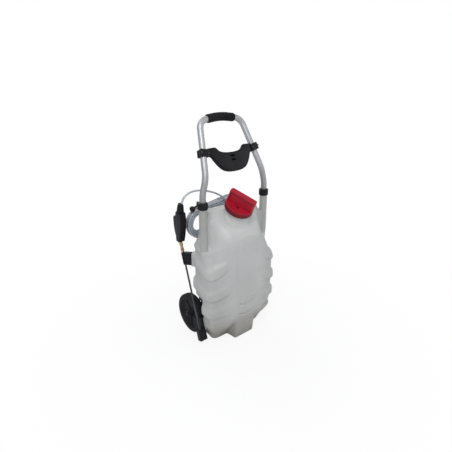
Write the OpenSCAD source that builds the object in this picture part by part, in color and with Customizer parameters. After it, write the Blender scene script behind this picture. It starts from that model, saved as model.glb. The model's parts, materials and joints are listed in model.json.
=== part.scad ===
// Wheeled sprayer cart: a blow-moulded tank on two wheels with a bent tube handle,
// a screw cap, a spray gun and lance stowed on its left side, and a hank of hose behind.
// Millimetres. +Z is up, +X is the cart's right as seen from its front, +Y is its back.
// The origin is on the floor, in the middle plane, under the legs of the handle.

/* [Tank] */
// Half of the tank's width between its ribs
tank_half_w = 182; // [160:1:210]
// Height of the tank's flat top
tank_top = 606; // [560:1:660]
// How far the front panel stands ahead of the handle's legs
tank_front = 88; // [70:1:105]
// How far the back wall stands behind the handle's legs
tank_back = 80; // [68:1:95]
// Thickness of the tank's wall
tank_wall = 3; // [2:0.5:5]
// How far the chevron bands stand out
rib_out = 11; // [4:1:16]
// Half width of the smooth front panel
panel_half_w = 60; // [45:1:75]
// Half width of the middle foot
foot_half_w = 56; // [40:1:58]

/* [Neck and cap] */
// Tilt of the filling neck towards the front
neck_tilt = 28; // [25:1:55]
// Outer radius of the neck
neck_r = 50; // [40:1:56]
// Wall of the neck
neck_wall = 3.5; // [2:0.5:6]
// Outer radius of the screw cap
cap_r = 61; // [57:1:70]
// Height of the cap's skirt
cap_skirt = 22; // [16:1:34]
// Height of the grip bar above the cap's face
cap_bar_h = 50; // [24:1:60]
// Width of the grip bar
cap_bar_w = 30; // [24:1:36]
// Rise of the cap's thread in one turn
thread_pitch = 12; // [6:1:18]

/* [Handle] */
// Outer diameter of the handle's tube
tube_d = 25.4; // [20:0.2:30]
// Wall of the handle's tube
tube_wall = 1.5; // [1:0.1:2.5]
// Half of the distance between the handle's legs
leg_x = 165; // [155:1:180]
// Height of the legs' lower ends
leg_bottom = 454; // [420:1:500]
// Height of the bend where the legs lean inwards
knee_z = 690; // [680:1:720]
// Height where the handle tilts back
tilt_z = 752; // [740:1:800]
// Tilt of the upper handle from upright
handle_tilt = 25; // [10:1:35]
// Length of the tilted part up to its corners
corner_v = 226; // [190:1:260]
// Half width of the handle at its top corners
corner_u = 105; // [95:1:120]
// Bending radius of the top corners
corner_r = 46; // [35:1:55]
// Length of the hand grip
grip_l = 136; // [100:1:150]
// Wall of the foam grip
grip_wall = 4.6; // [2:0.2:8]

/* [Collars] */
// Outer radius of the locking collars
collar_r = 20; // [19:0.5:26]
// Height of the locking collars
collar_h = 22; // [20:1:30]
// Height of the top of the moulded columns
column_top = 641; // [616:1:680]
// Outer radius of the moulded columns
column_r = 17; // [16.5:0.1:18]

/* [Wheels] */
// Outer radius of the tyres
wheel_r = 93; // [80:1:105]
// Width of the tyres
wheel_w = 39; // [28:1:44]
// Distance from the middle plane to the middle of each wheel
wheel_x = 164.5; // [162:0.5:180]
// Distance of the axle behind the handle's legs
axle_y = 109; // [106:1:125]
// Diameter of the axle
axle_d = 12; // [8:1:16]

/* [Lance and gun] */
// Distance of the lance from the middle plane
lance_x = 200; // [198:1:215]
// Lean of the lance from upright
lance_lean = 18.2; // [10:0.1:24]
// Diameter of the lance's tube
lance_d = 8; // [6:0.5:10]
// Length from the nozzle's tip to the gun
lance_l = 446; // [380:1:460]
// Lean of the gun from upright
gun_lean = 8; // [0:0.1:12]
// Length of the gun's body
gun_l = 134; // [120:1:160]
// Width of the gun's body
gun_w = 29; // [26:1:34]

/* [Hose] */
// Outer diameter of the hose
hose_d = 8; // [6:0.5:9]
// Loops of the hank in each of its layers
hank_turns = 3; // [2:1:4]
// Step from one loop of the hank to the next
hank_step = 8.8; // [8.7:0.1:10]
// Outer radius of the hank's ends
hank_r = 72; // [70:1:90]
// Length of the hank's straight runs
hank_run = 164; // [120:1:200]

/* [Rear unit] */
// Half width of the rear carrier
carrier_half_w = 128; // [120:1:132]
// Height of the rear carrier
carrier_h = 318; // [300:1:340]
// Depth of the pump housing
housing_d = 66; // [62:1:90]
// Width of the battery pack
battery_w = 92; // [60:1:110]
// Height of the battery pack
battery_h = 96; // [60:1:104]

/* [Fit] */
// Radial clearance of running fits
run_gap = 0.08; // [0.02:0.01:0.1]
// Gap between separate pieces that only lie beside each other
seat_gap = 0.3; // [0.2:0.05:0.5]

/* [Hidden] */
$fn = 64;

clear_plastic = [0.80, 0.81, 0.82];
alloy = [0.72, 0.73, 0.75];
black_plastic = [0.06, 0.06, 0.07];
red_plastic = [0.75, 0.10, 0.18];
brass_metal = [0.72, 0.55, 0.35];
steel_metal = [0.55, 0.56, 0.58];

tube_r = tube_d / 2;
axle_r = axle_d / 2;
axle_z = wheel_r;

// ---------- general shapes ----------

function unit(v) = v / norm(v);
function smooth(a, b, t) = let (s = min(1, max(0, (t - a) / (b - a)))) s * s * (3 - 2 * s);
function mix(a, b, t) = a + (b - a) * t;

// Places its children at a, with their Z along the line to b.
module along(a, b) {
    d = b - a;
    translate(a)
        rotate([0, acos(d[2] / norm(d)), atan2(d[1], d[0])])
            children();
}

module ring_2d(r_out, r_in) {
    difference() {
        circle(r_out);
        if (r_in > 0) circle(r_in);
    }
}

module pipe(h, r_out, r_in) {
    linear_extrude(h) ring_2d(r_out, r_in);
}

// One bend of a rod at the corner p, between the directions u and v.
module rod_bend(p, u, v, bend_r, r) {
    turn = acos(u * v);
    w = unit(v - u * (u * v));
    k = cross(-w, u);
    c = p - u * bend_r * tan(turn / 2) + w * bend_r;
    multmatrix([
        [-w[0], u[0], k[0], c[0]],
        [-w[1], u[1], k[1], c[1]],
        [-w[2], u[2], k[2], c[2]],
        [0, 0, 0, 1]
    ])
        rotate_extrude(angle = turn) translate([bend_r, 0]) circle(r);
}

// A bent rod: straight runs between the corners, each corner with its own bending radius.
// The bends are a hair thicker than the runs, which reach a little way into them.
bend_step = 0.1;
bend_lap = 0.6;

module bent_rod(pts, radii, r, past_end = 0) {
    n = len(pts);
    dir = [for (i = [0:n - 2]) unit(pts[i + 1] - pts[i])];
    cut = [for (i = [0:n - 1])
        (i == 0 || i == n - 1) ? 0 : radii[i] * tan(acos(dir[i - 1] * dir[i]) / 2)];
    union() {
        for (i = [0:n - 2]) {
            lap_a = i == 0 ? -past_end : cut[i] - bend_lap;
            lap_b = i == n - 2 ? -past_end : cut[i + 1] - bend_lap;
            a = pts[i] + dir[i] * lap_a;
            b = pts[i + 1] - dir[i] * lap_b;
            along(a, b) cylinder(r = r, h = norm(b - a));
        }
        for (i = [1:1:n - 2])
            rod_bend(pts[i], dir[i - 1], dir[i], radii[i], r + bend_step);
    }
}

module bent_tube(pts, radii, r_out, r_in) {
    difference() {
        bent_rod(pts, radii, r_out);
        bent_rod(pts, radii, r_in, 1);
    }
}

// Screw with a pan head. It points down its Z, the head's seat is at the origin.
module pan_screw(r, length, head_r, head_h) {
    translate([0, 0, -length]) cylinder(r = r, h = length);
    difference() {
        cylinder(r = head_r, h = head_h);
        translate([0, 0, head_h - 1]) {
            cube([head_r * 1.2, 0.9, 3], center = true);
            cube([0.9, head_r * 1.2, 3], center = true);
        }
    }
}

module block(x0, x1, y0, y1, z0, z1) {
    translate([x0, y0, z0]) cube([x1 - x0, y1 - y0, z1 - z0]);
}

// Axis-symmetric body round a line along X.
module across_x(x, y, z) {
    translate([x, y, z]) rotate([0, 90, 0]) children();
}

module mirrored_x() {
    children();
    mirror([1, 0, 0]) children();
}

// ---------- tank ----------

shoulder_z = 471;
well_top = wheel_r * 2 + 10;
well_x = wheel_x - wheel_w / 2 - 10.5;
slope_z = 505;
well_front = -6;

// Half width of the body at a height.
function body_w(z) = tank_half_w + lookup(z, [
    [0, -46], [20, -39], [100, -10], [145, -2], [200, 0], [338, 0], [396, -6],
    [447, -10], [480, -16], [520, -24], [570, -30], [592, -38], [tank_top, -58]
]);
// Front of the middle, of the ground beside the middle foot, and of the corners.
function front_mid(z) = -tank_front + lookup(z, [
    [0, 14], [40, 9], [131, 0], [465, 1], [490, 6], [505, 14], [520, 26], [540, 44], [560, 61], [580, 77],
    [592, 86], [tank_top, 97]
]);
function front_side(z) = mix(-22, front_mid(z), smooth(0, 115, z));
function front_corner(z) = lookup(z, [
    [0, -20], [60, -45], [100, -60], [145, -66], [338, -66], [396, -43], [411, -34],
    [447, -14], [shoulder_z, -3], [560, 4], [592, 12], [tank_top, 18]
]);
function back_y(z) = tank_back + lookup(z, [
    [0, -14], [60, -4], [100, 0], [440, 0], [475, -8], [500, -28], [560, -30], [592, -36],
    [tank_top, -52]
]);
// How deep the wheel wells cut in at a height.
function well_cut(z) = max(0, body_w(z) - well_x) * (1 - smooth(well_top, well_top + 34, z));

// Chevron bands: height of the lower edge at the corner, height of the band, standing out.
bands = [[62, 50, 0.85], [145, 56, 1], [232, 56, 1], [333, 56, 1], [428, 30, 0.5]];
edge_fall = 4;
// How the rings rise away from the corner, over the front and over the side.
function rise_front(z) = lookup(z, [[0, 0], [60, 0], [145, 6], [232, 22], [333, 34], [428, 34], [560, 0]]);
function rise_side(z) = lookup(z, [[0, 0], [60, 0], [145, 6], [232, 20], [333, 36], [428, 22], [500, 0]]);
front_fade = 92;
side_fade = 110;

// Heights of the rings at the corner, with the share of the rib that each one carries.
ring_rows = concat(
    [[0, 0], [18, 0], [40, 0]],
    [for (b = bands) each [
        [b[0], 0], [b[0] + edge_fall, b[2]], [b[0] + b[1] * 0.5, b[2]],
        [b[0] + b[1] * 0.78, b[2] * 0.9], [b[0] + b[1], 0]
    ]],
    [[480, 0], [slope_z, 0], [532, 0], [560, 0], [580, 0], [592, 0], [tank_top, 0]]
);

corner_arc = 24;
back_arc = 52;
front_steps = 8;
arc_steps = 4;
side_steps = 5;

// Right half of a ring, from the middle of the front to the middle of the back.
// Each point is [x, y, outward x, outward y, distance from the corner, on the front].
function ring_half(z) =
    let (
        w = body_w(z), fc = front_corner(z), cut = well_cut(z),
        yb = max(back_y(z), fc + corner_arc + 20), ba = min(back_arc, (yb - fc - corner_arc) / 2),
        half_arc = corner_arc * PI / 4,
        flat_w = panel_half_w + 1, flank = w - corner_arc - flat_w
    )
    concat(
        [for (i = [0:front_steps - 1])
            let (
                x = i < 3 ? panel_half_w * i / 3 : flat_w + flank * (i - 3) / (front_steps - 3),
                t = max(0, (x - flat_w) / flank),
                y = i < 3 ? front_mid(z) : mix(front_side(z), fc, pow(t, 1.7))
            )
            [x, y, 0, -1, w - corner_arc - x + half_arc, 1]],
        [for (i = [0:arc_steps])
            let (a = -90 + 90 * i / arc_steps)
            [
                w - corner_arc + corner_arc * cos(a), fc + corner_arc + corner_arc * sin(a),
                cos(a), sin(a), corner_arc * abs(a + 45) * PI / 180, a < -45 ? 1 : 0
            ]],
        [for (i = [1:side_steps])
            let (
                y = mix(fc + corner_arc, yb - ba, i / side_steps),
                x = w - cut * smooth(well_front, well_front + 24, y)
            )
            [x, y, 1, 0, y - fc - corner_arc + half_arc, 0]],
        [for (i = [1:arc_steps])
            let (a = 90 * i / arc_steps, w2 = w - cut)
            [
                w2 - ba + ba * cos(a), yb - ba + ba * sin(a), cos(a), sin(a),
                yb - fc - corner_arc - ba + half_arc + ba * a * PI / 180, 0
            ]],
        [for (i = [1:3]) [(w - cut - ba) * (1 - i / 3), yb, 0, 1, side_fade * 2, 0]]
    );

// A ring of the body, ribs and all, that starts at the height z0 on the corner.
// The inner side of the wall uses grow below zero.
function body_ring(z0, rib, grow) =
    let (low = ring_half(z0))
    [for (i = [0:len(low) - 1])
        let (
            front = low[i][5] == 1,
            lift = front ? rise_front(z0) * smooth(0, front_fade, low[i][4])
                : rise_side(z0) * smooth(0, side_fade, low[i][4]),
            q = ring_half(z0 + lift)[i],
            fade = front ? 1 - smooth(front_fade - 24, front_fade - 2, low[i][4])
                : 1 - smooth(side_fade + 10, side_fade + 50, low[i][4]),
            well = q[1] > well_front && q[2] > 0 ? smooth(well_top - 20, well_top + 30, z0) : 1,
            d = grow + rib * rib_out * fade * well
        )
        [q[0] + q[2] * d, q[1] + q[3] * d, z0 + lift]
    ];

// A whole ring, anticlockwise seen from above.
function whole_ring(half) =
    let (n = len(half))
    concat(half, [for (i = [n - 2:-1:1]) [-half[i][0], half[i][1], half[i][2]]]);

// A closed solid through a stack of rings of equal length.
module lofted(rings) {
    n = len(rings[0]);
    m = len(rings);
    function centre(r) = [0, (min([for (p = r) p[1]]) + max([for (p = r) p[1]])) / 2, r[0][2]];
    pts = concat([for (r = rings) each r], [centre(rings[0]), centre(rings[m - 1])]);
    faces = concat(
        [for (j = [0:m - 2]) for (i = [0:n - 1]) each [
            [j * n + i, (j + 1) * n + (i + 1) % n, j * n + (i + 1) % n],
            [j * n + i, (j + 1) * n + i, (j + 1) * n + (i + 1) % n]
        ]],
        [for (i = [0:n - 1]) [m * n, i, (i + 1) % n]],
        [for (i = [0:n - 1]) [m * n + 1, (m - 1) * n + (i + 1) % n, (m - 1) * n + i]]
    );
    polyhedron(pts, faces, convexity = 12);
}

neck_base = [0, -5, 574.6];
neck_l = 46;
neck_sink = 46;
lip_z = neck_l;
strainer_l = 84;
// The neck's flare ends inside the tank's back.
flare_back = 36;

module on_neck() {
    translate(neck_base) rotate([neck_tilt, 0, 0]) children();
}

function inner_ring_heights() = [14, 40, 70, 110, 150, 190, 230, 280, 338, 396, 440, 471, 505, 560, 588];

module tank() {
    color(clear_plastic)
        resize([2 * (tank_half_w + rib_out), 0, 0])
            difference() {
                union() {
                    lofted([for (r = ring_rows) whole_ring(body_ring(r[0], r[1], 0))]);
                    on_neck() translate([0, 0, -neck_sink])
                        cylinder(r = neck_r, h = neck_l + neck_sink, $fn = 48);
                    intersection() {
                        on_neck() translate([0, 0, -36])
                            cylinder(r1 = neck_r + 26, r2 = neck_r + 3, h = 48, $fn = 48);
                        block(-100, 100, -120, flare_back, 500, 640);
                    }
                    // Flat pads that the lance's clip and cup and the hose hooks sit on.
                    clip_frame() translate([clip_reach, -14, -4]) cube([30, 28, clip_l + 8]);
                    translate([-cup_seat, -22, 84]) cube([30, 26, 44]);
                    for (h = [hook_left, hook_right]) translate([h[0], hook_seat_y - 20, h[1]])
                        rotate([-90, 0, 0]) cylinder(r = 10, h = 20, $fn = 24);
                    mirrored_x() translate([leg_x, 0, leg_bottom - 30])
                        cylinder(r1 = column_r - 3, r2 = column_r, h = 60, $fn = 32);
                    mirrored_x() translate([leg_x, 0, leg_bottom + 30])
                        cylinder(r = column_r, h = column_top - leg_bottom - 30, $fn = 32);
                }
                difference() {
                    lofted([for (z = inner_ring_heights())
                        whole_ring(body_ring(z, 0, -tank_wall))]);
                    mirrored_x() translate([leg_x, 0, leg_bottom - 40])
                        cylinder(r = column_r, h = column_top, $fn = 32);
                    // Bosses inside the back wall for the screws of the carrier.
                    for (q = screw_spots) translate([q[0], tank_back, q[1]]) rotate([90, 0, 0])
                        cylinder(r = 8, h = 14, $fn = 24);
                }
                for (q = screw_spots) translate([q[0], tank_back + 1, q[1]]) rotate([90, 0, 0])
                    cylinder(r = 3.1, h = 9, $fn = 24);
                // Room on the neck's flare for the flanges of the hose hooks.
                for (h = [hook_left, hook_right]) translate([h[0], hook_seat_y, h[1]])
                    rotate([-90, 0, 0]) cylinder(r = 9.2, h = 8, $fn = 24);
                on_neck() translate([0, 0, -neck_sink - 8])
                    cylinder(r = neck_r - neck_wall, h = neck_l + neck_sink + 9, $fn = 48);
                mirrored_x() translate([leg_x, 0, leg_bottom - 20])
                    cylinder(r = column_r - 2.3, h = column_top, $fn = 32);
                translate([0, tank_back, outlet_z]) rotate([90, 0, 0])
                    cylinder(r = 9, h = 30, center = true, $fn = 32);
            }
}

outlet_z = 52;

// Basket that hangs in the neck by its flange.
module fill_strainer() {
    r = neck_r - neck_wall - 0.8;
    color(black_plastic)
        on_neck() {
            difference() {
                union() {
                    translate([0, 0, lip_z + seat_gap]) cylinder(r = neck_r - 0.6, h = 2);
                    translate([0, 0, lip_z - strainer_l]) cylinder(r = r, h = strainer_l + 1);
                }
                translate([0, 0, lip_z - strainer_l + 2.5])
                    cylinder(r = r - 2, h = strainer_l + 10);
                for (row = [0:3]) for (k = [0:9])
                    rotate([0, 0, 36 * k])
                        translate([r, 0, lip_z - strainer_l + 14 + 17 * row])
                            cube([10, 9, 11], center = true);
                for (k = [0:2])
                    translate([-26 + 26 * k, 0, lip_z - strainer_l]) cube([12, 44, 12], center = true);
            }
        }
}

seal_z = lip_z + 2 + 2 * seat_gap;

module cap_seal() {
    color([0.12, 0.12, 0.12])
        on_neck() translate([0, 0, seal_z]) pipe(3, neck_r + 0.5, neck_r - 5);
}

cap_in_r = neck_r + 2.6;
cap_face_z = seal_z + 3 + seat_gap;
cap_top_t = 4;
cap_bar_turn = -63;
vent_r = 5;
vent_spot = [-20.5, -10.5];

module fill_cap() {
    skirt_z = cap_face_z - cap_skirt + cap_top_t;
    face_z = cap_face_z + cap_top_t;
    rim_h = 4;
    bar_half = cap_bar_w / 2;
    bar_l = 2 * cap_r - 2;
    edge_r = 3;
    hollow_r = cap_bar_h * 0.42;
    hollow_in = 9;
    color(red_plastic)
        on_neck() {
            difference() {
                union() {
                    translate([0, 0, skirt_z]) cylinder(r = cap_r - 2, h = cap_skirt + rim_h - 2);
                    translate([0, 0, skirt_z + 2]) cylinder(r = cap_r, h = cap_skirt + rim_h - 5);
                    for (k = [0:29])
                        rotate([0, 0, 12 * k]) translate([cap_r - 0.4, 0, skirt_z + 3])
                            cylinder(r = 1.6, h = cap_skirt - 6, $fn = 16);
                }
                translate([0, 0, face_z]) cylinder(r = cap_r - 5, h = 20);
                translate([0, 0, skirt_z - 1]) cylinder(r = cap_in_r, h = cap_face_z - skirt_z + 1);
                translate([vent_spot[0], vent_spot[1], cap_face_z - 1]) cylinder(r = vent_r, h = 12);
            }
            rotate([0, 0, cap_bar_turn]) {
                difference() {
                    union() {
                        block(-bar_l / 2, bar_l / 2, -bar_half, bar_half, face_z - 1, face_z + cap_bar_h - edge_r);
                        block(-bar_l / 2 + edge_r, bar_l / 2 - edge_r, -bar_half + edge_r, bar_half - edge_r,
                            face_z, face_z + cap_bar_h);
                    }
                    // Hollows for the fingers on both sides, closed at the ends of the bar.
                    for (s = [-1, 1])
                        translate([0, s * (bar_half + hollow_r - hollow_in), face_z + hollow_r - 4])
                            rotate([0, 90, 0]) cylinder(r = hollow_r, h = bar_l - 20, center = true);
                    for (s = [-1, 1]) translate([s * (cap_r + 3), 0, face_z + cap_bar_h + 3])
                        rotate([0, 45, 0]) cube([8, 40, 8], center = true);
                }
            }
        }
}

// Small valve that lets air in as the tank empties.
module cap_vent() {
    color([0.35, 0.06, 0.09])
        on_neck() translate([vent_spot[0], vent_spot[1], cap_face_z - 0.6]) {
            difference() {
                union() {
                    cylinder(r = vent_r - 0.05, h = cap_top_t + 0.6);
                    translate([0, 0, cap_top_t + 0.6]) cylinder(r = vent_r + 1.4, h = 1.6);
                }
                translate([0, 0, -1]) cylinder(r = 1.2, h = 20);
            }
        }
}

// ---------- handle ----------

tilt_x = 148;
apex_v = corner_v + 14;
function on_tilt(u, v) = [u, v * sin(handle_tilt), tilt_z + v * cos(handle_tilt)];

handle_half = [
    [leg_x, 0, leg_bottom], [leg_x, 0, knee_z], [tilt_x, 0, tilt_z], on_tilt(corner_u, corner_v)
];
handle_pts = concat(
    [for (p = handle_half) [-p[0], p[1], p[2]]],
    [on_tilt(0, apex_v)],
    [for (i = [3:-1:0]) handle_half[i]]
);
knee_r = 120;
crown_r = 300;
handle_radii = [0, knee_r, knee_r, corner_r, crown_r, corner_r, knee_r, knee_r, 0];

module handle_tube() {
    color(alloy) bent_tube(handle_pts, handle_radii, tube_r, tube_r - tube_wall);
}

module on_handle() {
    translate([0, 0, tilt_z]) rotate([-handle_tilt, 0, 0]) children();
}

// Foam grip, bent with the crown of the tube.
module handle_grip() {
    half = grip_l / 2;
    end_v = apex_v - (apex_v - corner_v) * half / corner_u;
    color(black_plastic)
        bent_tube(
            [on_tilt(-half, end_v), on_tilt(0, apex_v), on_tilt(half, end_v)],
            [0, crown_r, 0], tube_r + grip_wall, tube_r + bend_step + 0.03);
}

module tube_plugs() {
    color(black_plastic)
        mirrored_x() translate([leg_x, 0, leg_bottom]) {
            translate([0, 0, -2.5]) cylinder(r = tube_r - 0.3, h = 2.5);
            cylinder(r = tube_r - tube_wall - 0.05, h = 14);
        }
}

// Guide rings in the columns that keep the legs upright. The raised legs still reach them.
module tube_guides() {
    r_out = column_r - 2.4;
    guide_up = 104;
    color([0.85, 0.85, 0.83])
        mirrored_x() translate([leg_x, 0, leg_bottom + guide_up])
            pipe(22, r_out, tube_r + run_gap);
}

collet_z = column_top + seat_gap;
collet_h = 6;

module collar_collets() {
    color([0.2, 0.2, 0.21])
        mirrored_x() translate([leg_x, 0, collet_z]) {
            difference() {
                pipe(collet_h, column_r - 0.4, tube_r + run_gap);
                translate([-1, 0, -1]) cube([2, 30, 20]);
            }
        }
}

// Ribbed collar that closes the collet on the leg. Its skirt screws over the column.
module collar(x) {
    skirt_h = 10;
    color(black_plastic)
        translate([x, 0, column_top - skirt_h]) {
            difference() {
                union() {
                    cylinder(r = collar_r, h = collar_h - 3);
                    cylinder(r = collar_r - 2, h = collar_h);
                    for (k = [0:11])
                        rotate([0, 0, 30 * k]) translate([collar_r - 0.5, 0, 3])
                            cylinder(r = 1.7, h = collar_h - 9, $fn = 16);
                }
                translate([0, 0, -1])
                    cylinder(r = column_r + seat_gap, h = skirt_h + seat_gap * 2 + collet_h + 1);
                translate([0, 0, -2]) cylinder(r = tube_r + run_gap, h = collar_h + 6);
            }
        }
}

module collar_left() { collar(-leg_x); }
module collar_right() { collar(leg_x); }

// ---------- harness hanger ----------

hanger_v = 96;
clamp_u = 130.5;
clamp_half = 15;
clamp_out = 17.5;
clamp_in = 20;
hanger_front = 10;
clamp_deep = 17;
bolt_x = 15.2;
hanger_lean = atan2(tilt_x - corner_u, corner_v);

// Outline of the crescent in the plane of the handle, right half then left half.
crescent_half = [
    [0, 87], [18, 87.5], [42, 91], [57, 98], [68, 110], [78, 113], [112, 112],
    [114, 82], [101, 75], [93, 61], [81, 42], [60, 20], [32, 10], [0, 8]
];

module crescent_2d(inset) {
    offset(delta = -inset)
        polygon(concat(crescent_half,
            [for (i = [len(crescent_half) - 2:-1:1]) [-crescent_half[i][0], crescent_half[i][1]]]));
}

// Places its children on the right leg of the tilted handle, Z along the leg.
module on_leg() {
    on_handle()
        translate([tilt_x - hanger_v * tan(hanger_lean), 0, hanger_v])
            rotate([0, -hanger_lean, 0])
                children();
}

module harness_hanger() {
    color(black_plastic)
        difference() {
            union() {
                on_handle() rotate([90, 0, 0]) {
                    linear_extrude(hanger_front) crescent_2d(0);
                    linear_extrude(hanger_front + 3) crescent_2d(5);
                }
                mirrored_x() on_leg() clamp_half_block(-clamp_deep, -seat_gap / 2);
            }
            clamp_bores();
            // Pocket in the back of the plate, and two slots for the harness strap.
            on_handle() rotate([90, 0, 0]) translate([0, 0, -1]) {
                linear_extrude(7) intersection() {
                    crescent_2d(9);
                    translate([-86, 0]) square([172, 120]);
                }
                for (v = [50, 66]) translate([-11, v, 0]) cube([22, 9, 60]);
            }
            hanger_bolts(2.2, 60);
        }
}

// One half of the clamp on a leg of the handle.
module clamp_half_block(y0, y1) {
    translate([-clamp_in, y0, -clamp_half]) cube([clamp_in + clamp_out, y1 - y0, clamp_half * 2]);
}

module clamp_bores() {
    mirrored_x() on_leg() cylinder(r = tube_r + 0.05, h = 90, center = true);
}

module hanger_clamps() {
    color(black_plastic)
        difference() {
            mirrored_x() on_leg() clamp_half_block(seat_gap / 2, clamp_deep);
            clamp_bores();
            hanger_bolts(2.2, 60);
        }
}

module hanger_bolts(r, length) {
    mirrored_x() on_leg() for (x = [-bolt_x, bolt_x])
        translate([x, 0, 0]) rotate([90, 0, 0]) cylinder(r = r, h = length, center = true);
}

module hanger_screws() {
    color(steel_metal)
        mirrored_x() on_leg() for (x = [-bolt_x, bolt_x])
            translate([x, -clamp_deep - 0.05, 0]) rotate([90, 0, 0]) pan_screw(2, 2 * clamp_deep - 3, 3.5, 2.4);
}

// ---------- wheels ----------

hub_r = 17;
hub_in = wheel_x - wheel_w / 2 - 1;
hub_out = wheel_x + wheel_w / 2 + 1;
rim_r = wheel_r - 15;
bush_r = 9;
bush_l = 14;
cap_out = 9;

module axle() {
    color(steel_metal)
        across_x(-hub_out - 4, axle_y, axle_z) cylinder(r = axle_r, h = 2 * hub_out + 8);
}

module axle_spacers() {
    l = hub_in - carrier_half_w - 2 * seat_gap;
    color([0.7, 0.7, 0.68])
        mirrored_x() across_x(carrier_half_w + seat_gap, axle_y, axle_z)
            pipe(l, 10, axle_r + 0.05);
}

module axle_caps() {
    color(black_plastic)
        mirrored_x() across_x(hub_out + seat_gap, axle_y, axle_z)
            difference() {
                union() {
                    cylinder(r = 13, h = 2);
                    cylinder(r = 10, h = cap_out - 2);
                    cylinder(r = 8, h = cap_out);
                }
                translate([0, 0, -1]) cylinder(r = axle_r + 0.02, h = 6);
            }
}

// Tyre with a rounded crown and a row of tread lugs on each shoulder.
module tyre(s) {
    half = wheel_w / 2;
    color(black_plastic)
        across_x(s * wheel_x, axle_y, axle_z) {
            difference() {
                rotate_extrude() difference() {
                    union() {
                        translate([rim_r, -half + 5]) square([wheel_r - rim_r, wheel_w - 10]);
                        translate([rim_r, -half]) square([wheel_r - rim_r - 5, wheel_w]);
                        for (e = [-1, 1]) translate([wheel_r - 5, e * (half - 5)]) circle(5);
                    }
                    translate([rim_r - 1, -half + 9]) square([4, wheel_w - 18]);
                }
                for (k = [0:29]) rotate([0, 0, 12 * k]) for (e = [-1, 1])
                    translate([wheel_r, 0, e * (half - 4)]) cube([3.4, 5, 9], center = true);
            }
        }
}

// Moulded rim: a hub, a dished web with round holes, and the band under the tyre.
module rim(s) {
    half = wheel_w / 2;
    color([0.10, 0.10, 0.11])
        across_x(s * wheel_x, axle_y, axle_z)
            difference() {
                rotate_extrude() difference() {
                    union() {
                        translate([0, -half - 1]) square([hub_r, wheel_w + 2]);
                        translate([hub_r - 1, -3]) square([rim_r - hub_r - 3, 6]);
                        translate([rim_r - 6, -half + 1]) square([6 - 0.15, wheel_w - 2]);
                        translate([rim_r - 1, -half + 9.3]) square([3.7, wheel_w - 18.6]);
                    }
                    translate([-1, -50]) square([axle_r + 0.6 + 1, 100]);
                    for (e = [0, 1]) mirror([0, e])
                        translate([-1, half + 1 - bush_l]) square([bush_r + 1, 30]);
                }
                for (k = [0:4]) rotate([0, 0, 72 * k + 36]) translate([47, 0, 0])
                    cylinder(r = 15, h = 30, center = true);
            }
}

module wheel_bushes(s) {
    half = wheel_w / 2;
    color([0.85, 0.84, 0.8])
        across_x(s * wheel_x, axle_y, axle_z)
            for (e = [0, 1]) mirror([0, 0, e])
                translate([0, 0, half + 1 - bush_l]) pipe(bush_l, bush_r, axle_r + run_gap);
}

module tyre_left() { tyre(-1); }
module tyre_right() { tyre(1); }
module rim_left() { rim(-1); }
module rim_right() { rim(1); }
module wheel_bushes_left() { wheel_bushes(-1); }
module wheel_bushes_right() { wheel_bushes(1); }

// ---------- rear carrier and pump unit ----------

carrier_y = tank_back + seat_gap;
carrier_t = 7;
plate_y = carrier_y + carrier_t;
axle_boss_r = 14;
housing_half_w = 100;
housing_z0 = 118;
housing_z1 = 314;
housing_y1 = plate_y + housing_d;
shell_t = 3;
shelf_z = 200;
screw_spots = [[-112, 250], [112, 250], [-112, 60], [112, 60]];

// Plate on the tank's back with two cheeks, a tube for the axle and stiffening ribs.
module rear_carrier() {
    w = carrier_half_w;
    color(black_plastic)
        difference() {
            union() {
                block(-w, w, carrier_y, plate_y, 24, carrier_h);
                mirrored_x() block(w - 14, w, plate_y - 1, axle_y + axle_boss_r, axle_z - 26, axle_z + 26);
                across_x(-w, axle_y, axle_z) cylinder(r = axle_boss_r, h = 2 * w);
                for (x = [-70, -35, 35, 70])
                    block(x - 2, x + 2, plate_y - 1, axle_y + 4, 30, axle_z + 6);
                block(-w + 8, w - 8, plate_y - 1, axle_y - 2, 30, 35);
            }
            across_x(-w - 1, axle_y, axle_z) cylinder(r = axle_r + 0.04, h = 2 * w + 2);
            for (q = screw_spots) translate([q[0], carrier_y, q[1]]) rotate([-90, 0, 0])
                cylinder(r = 3.2, h = 60, center = true);
            translate([0, carrier_y, outlet_z]) rotate([-90, 0, 0]) cylinder(r = 12, h = 60, center = true);
        }
}

module carrier_screws() {
    color(steel_metal)
        for (q = screw_spots)
            translate([q[0], plate_y + 0.05, q[1]]) rotate([-90, 0, 0])
                pan_screw(3, carrier_t + 7, 6, 3.4);
}

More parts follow.
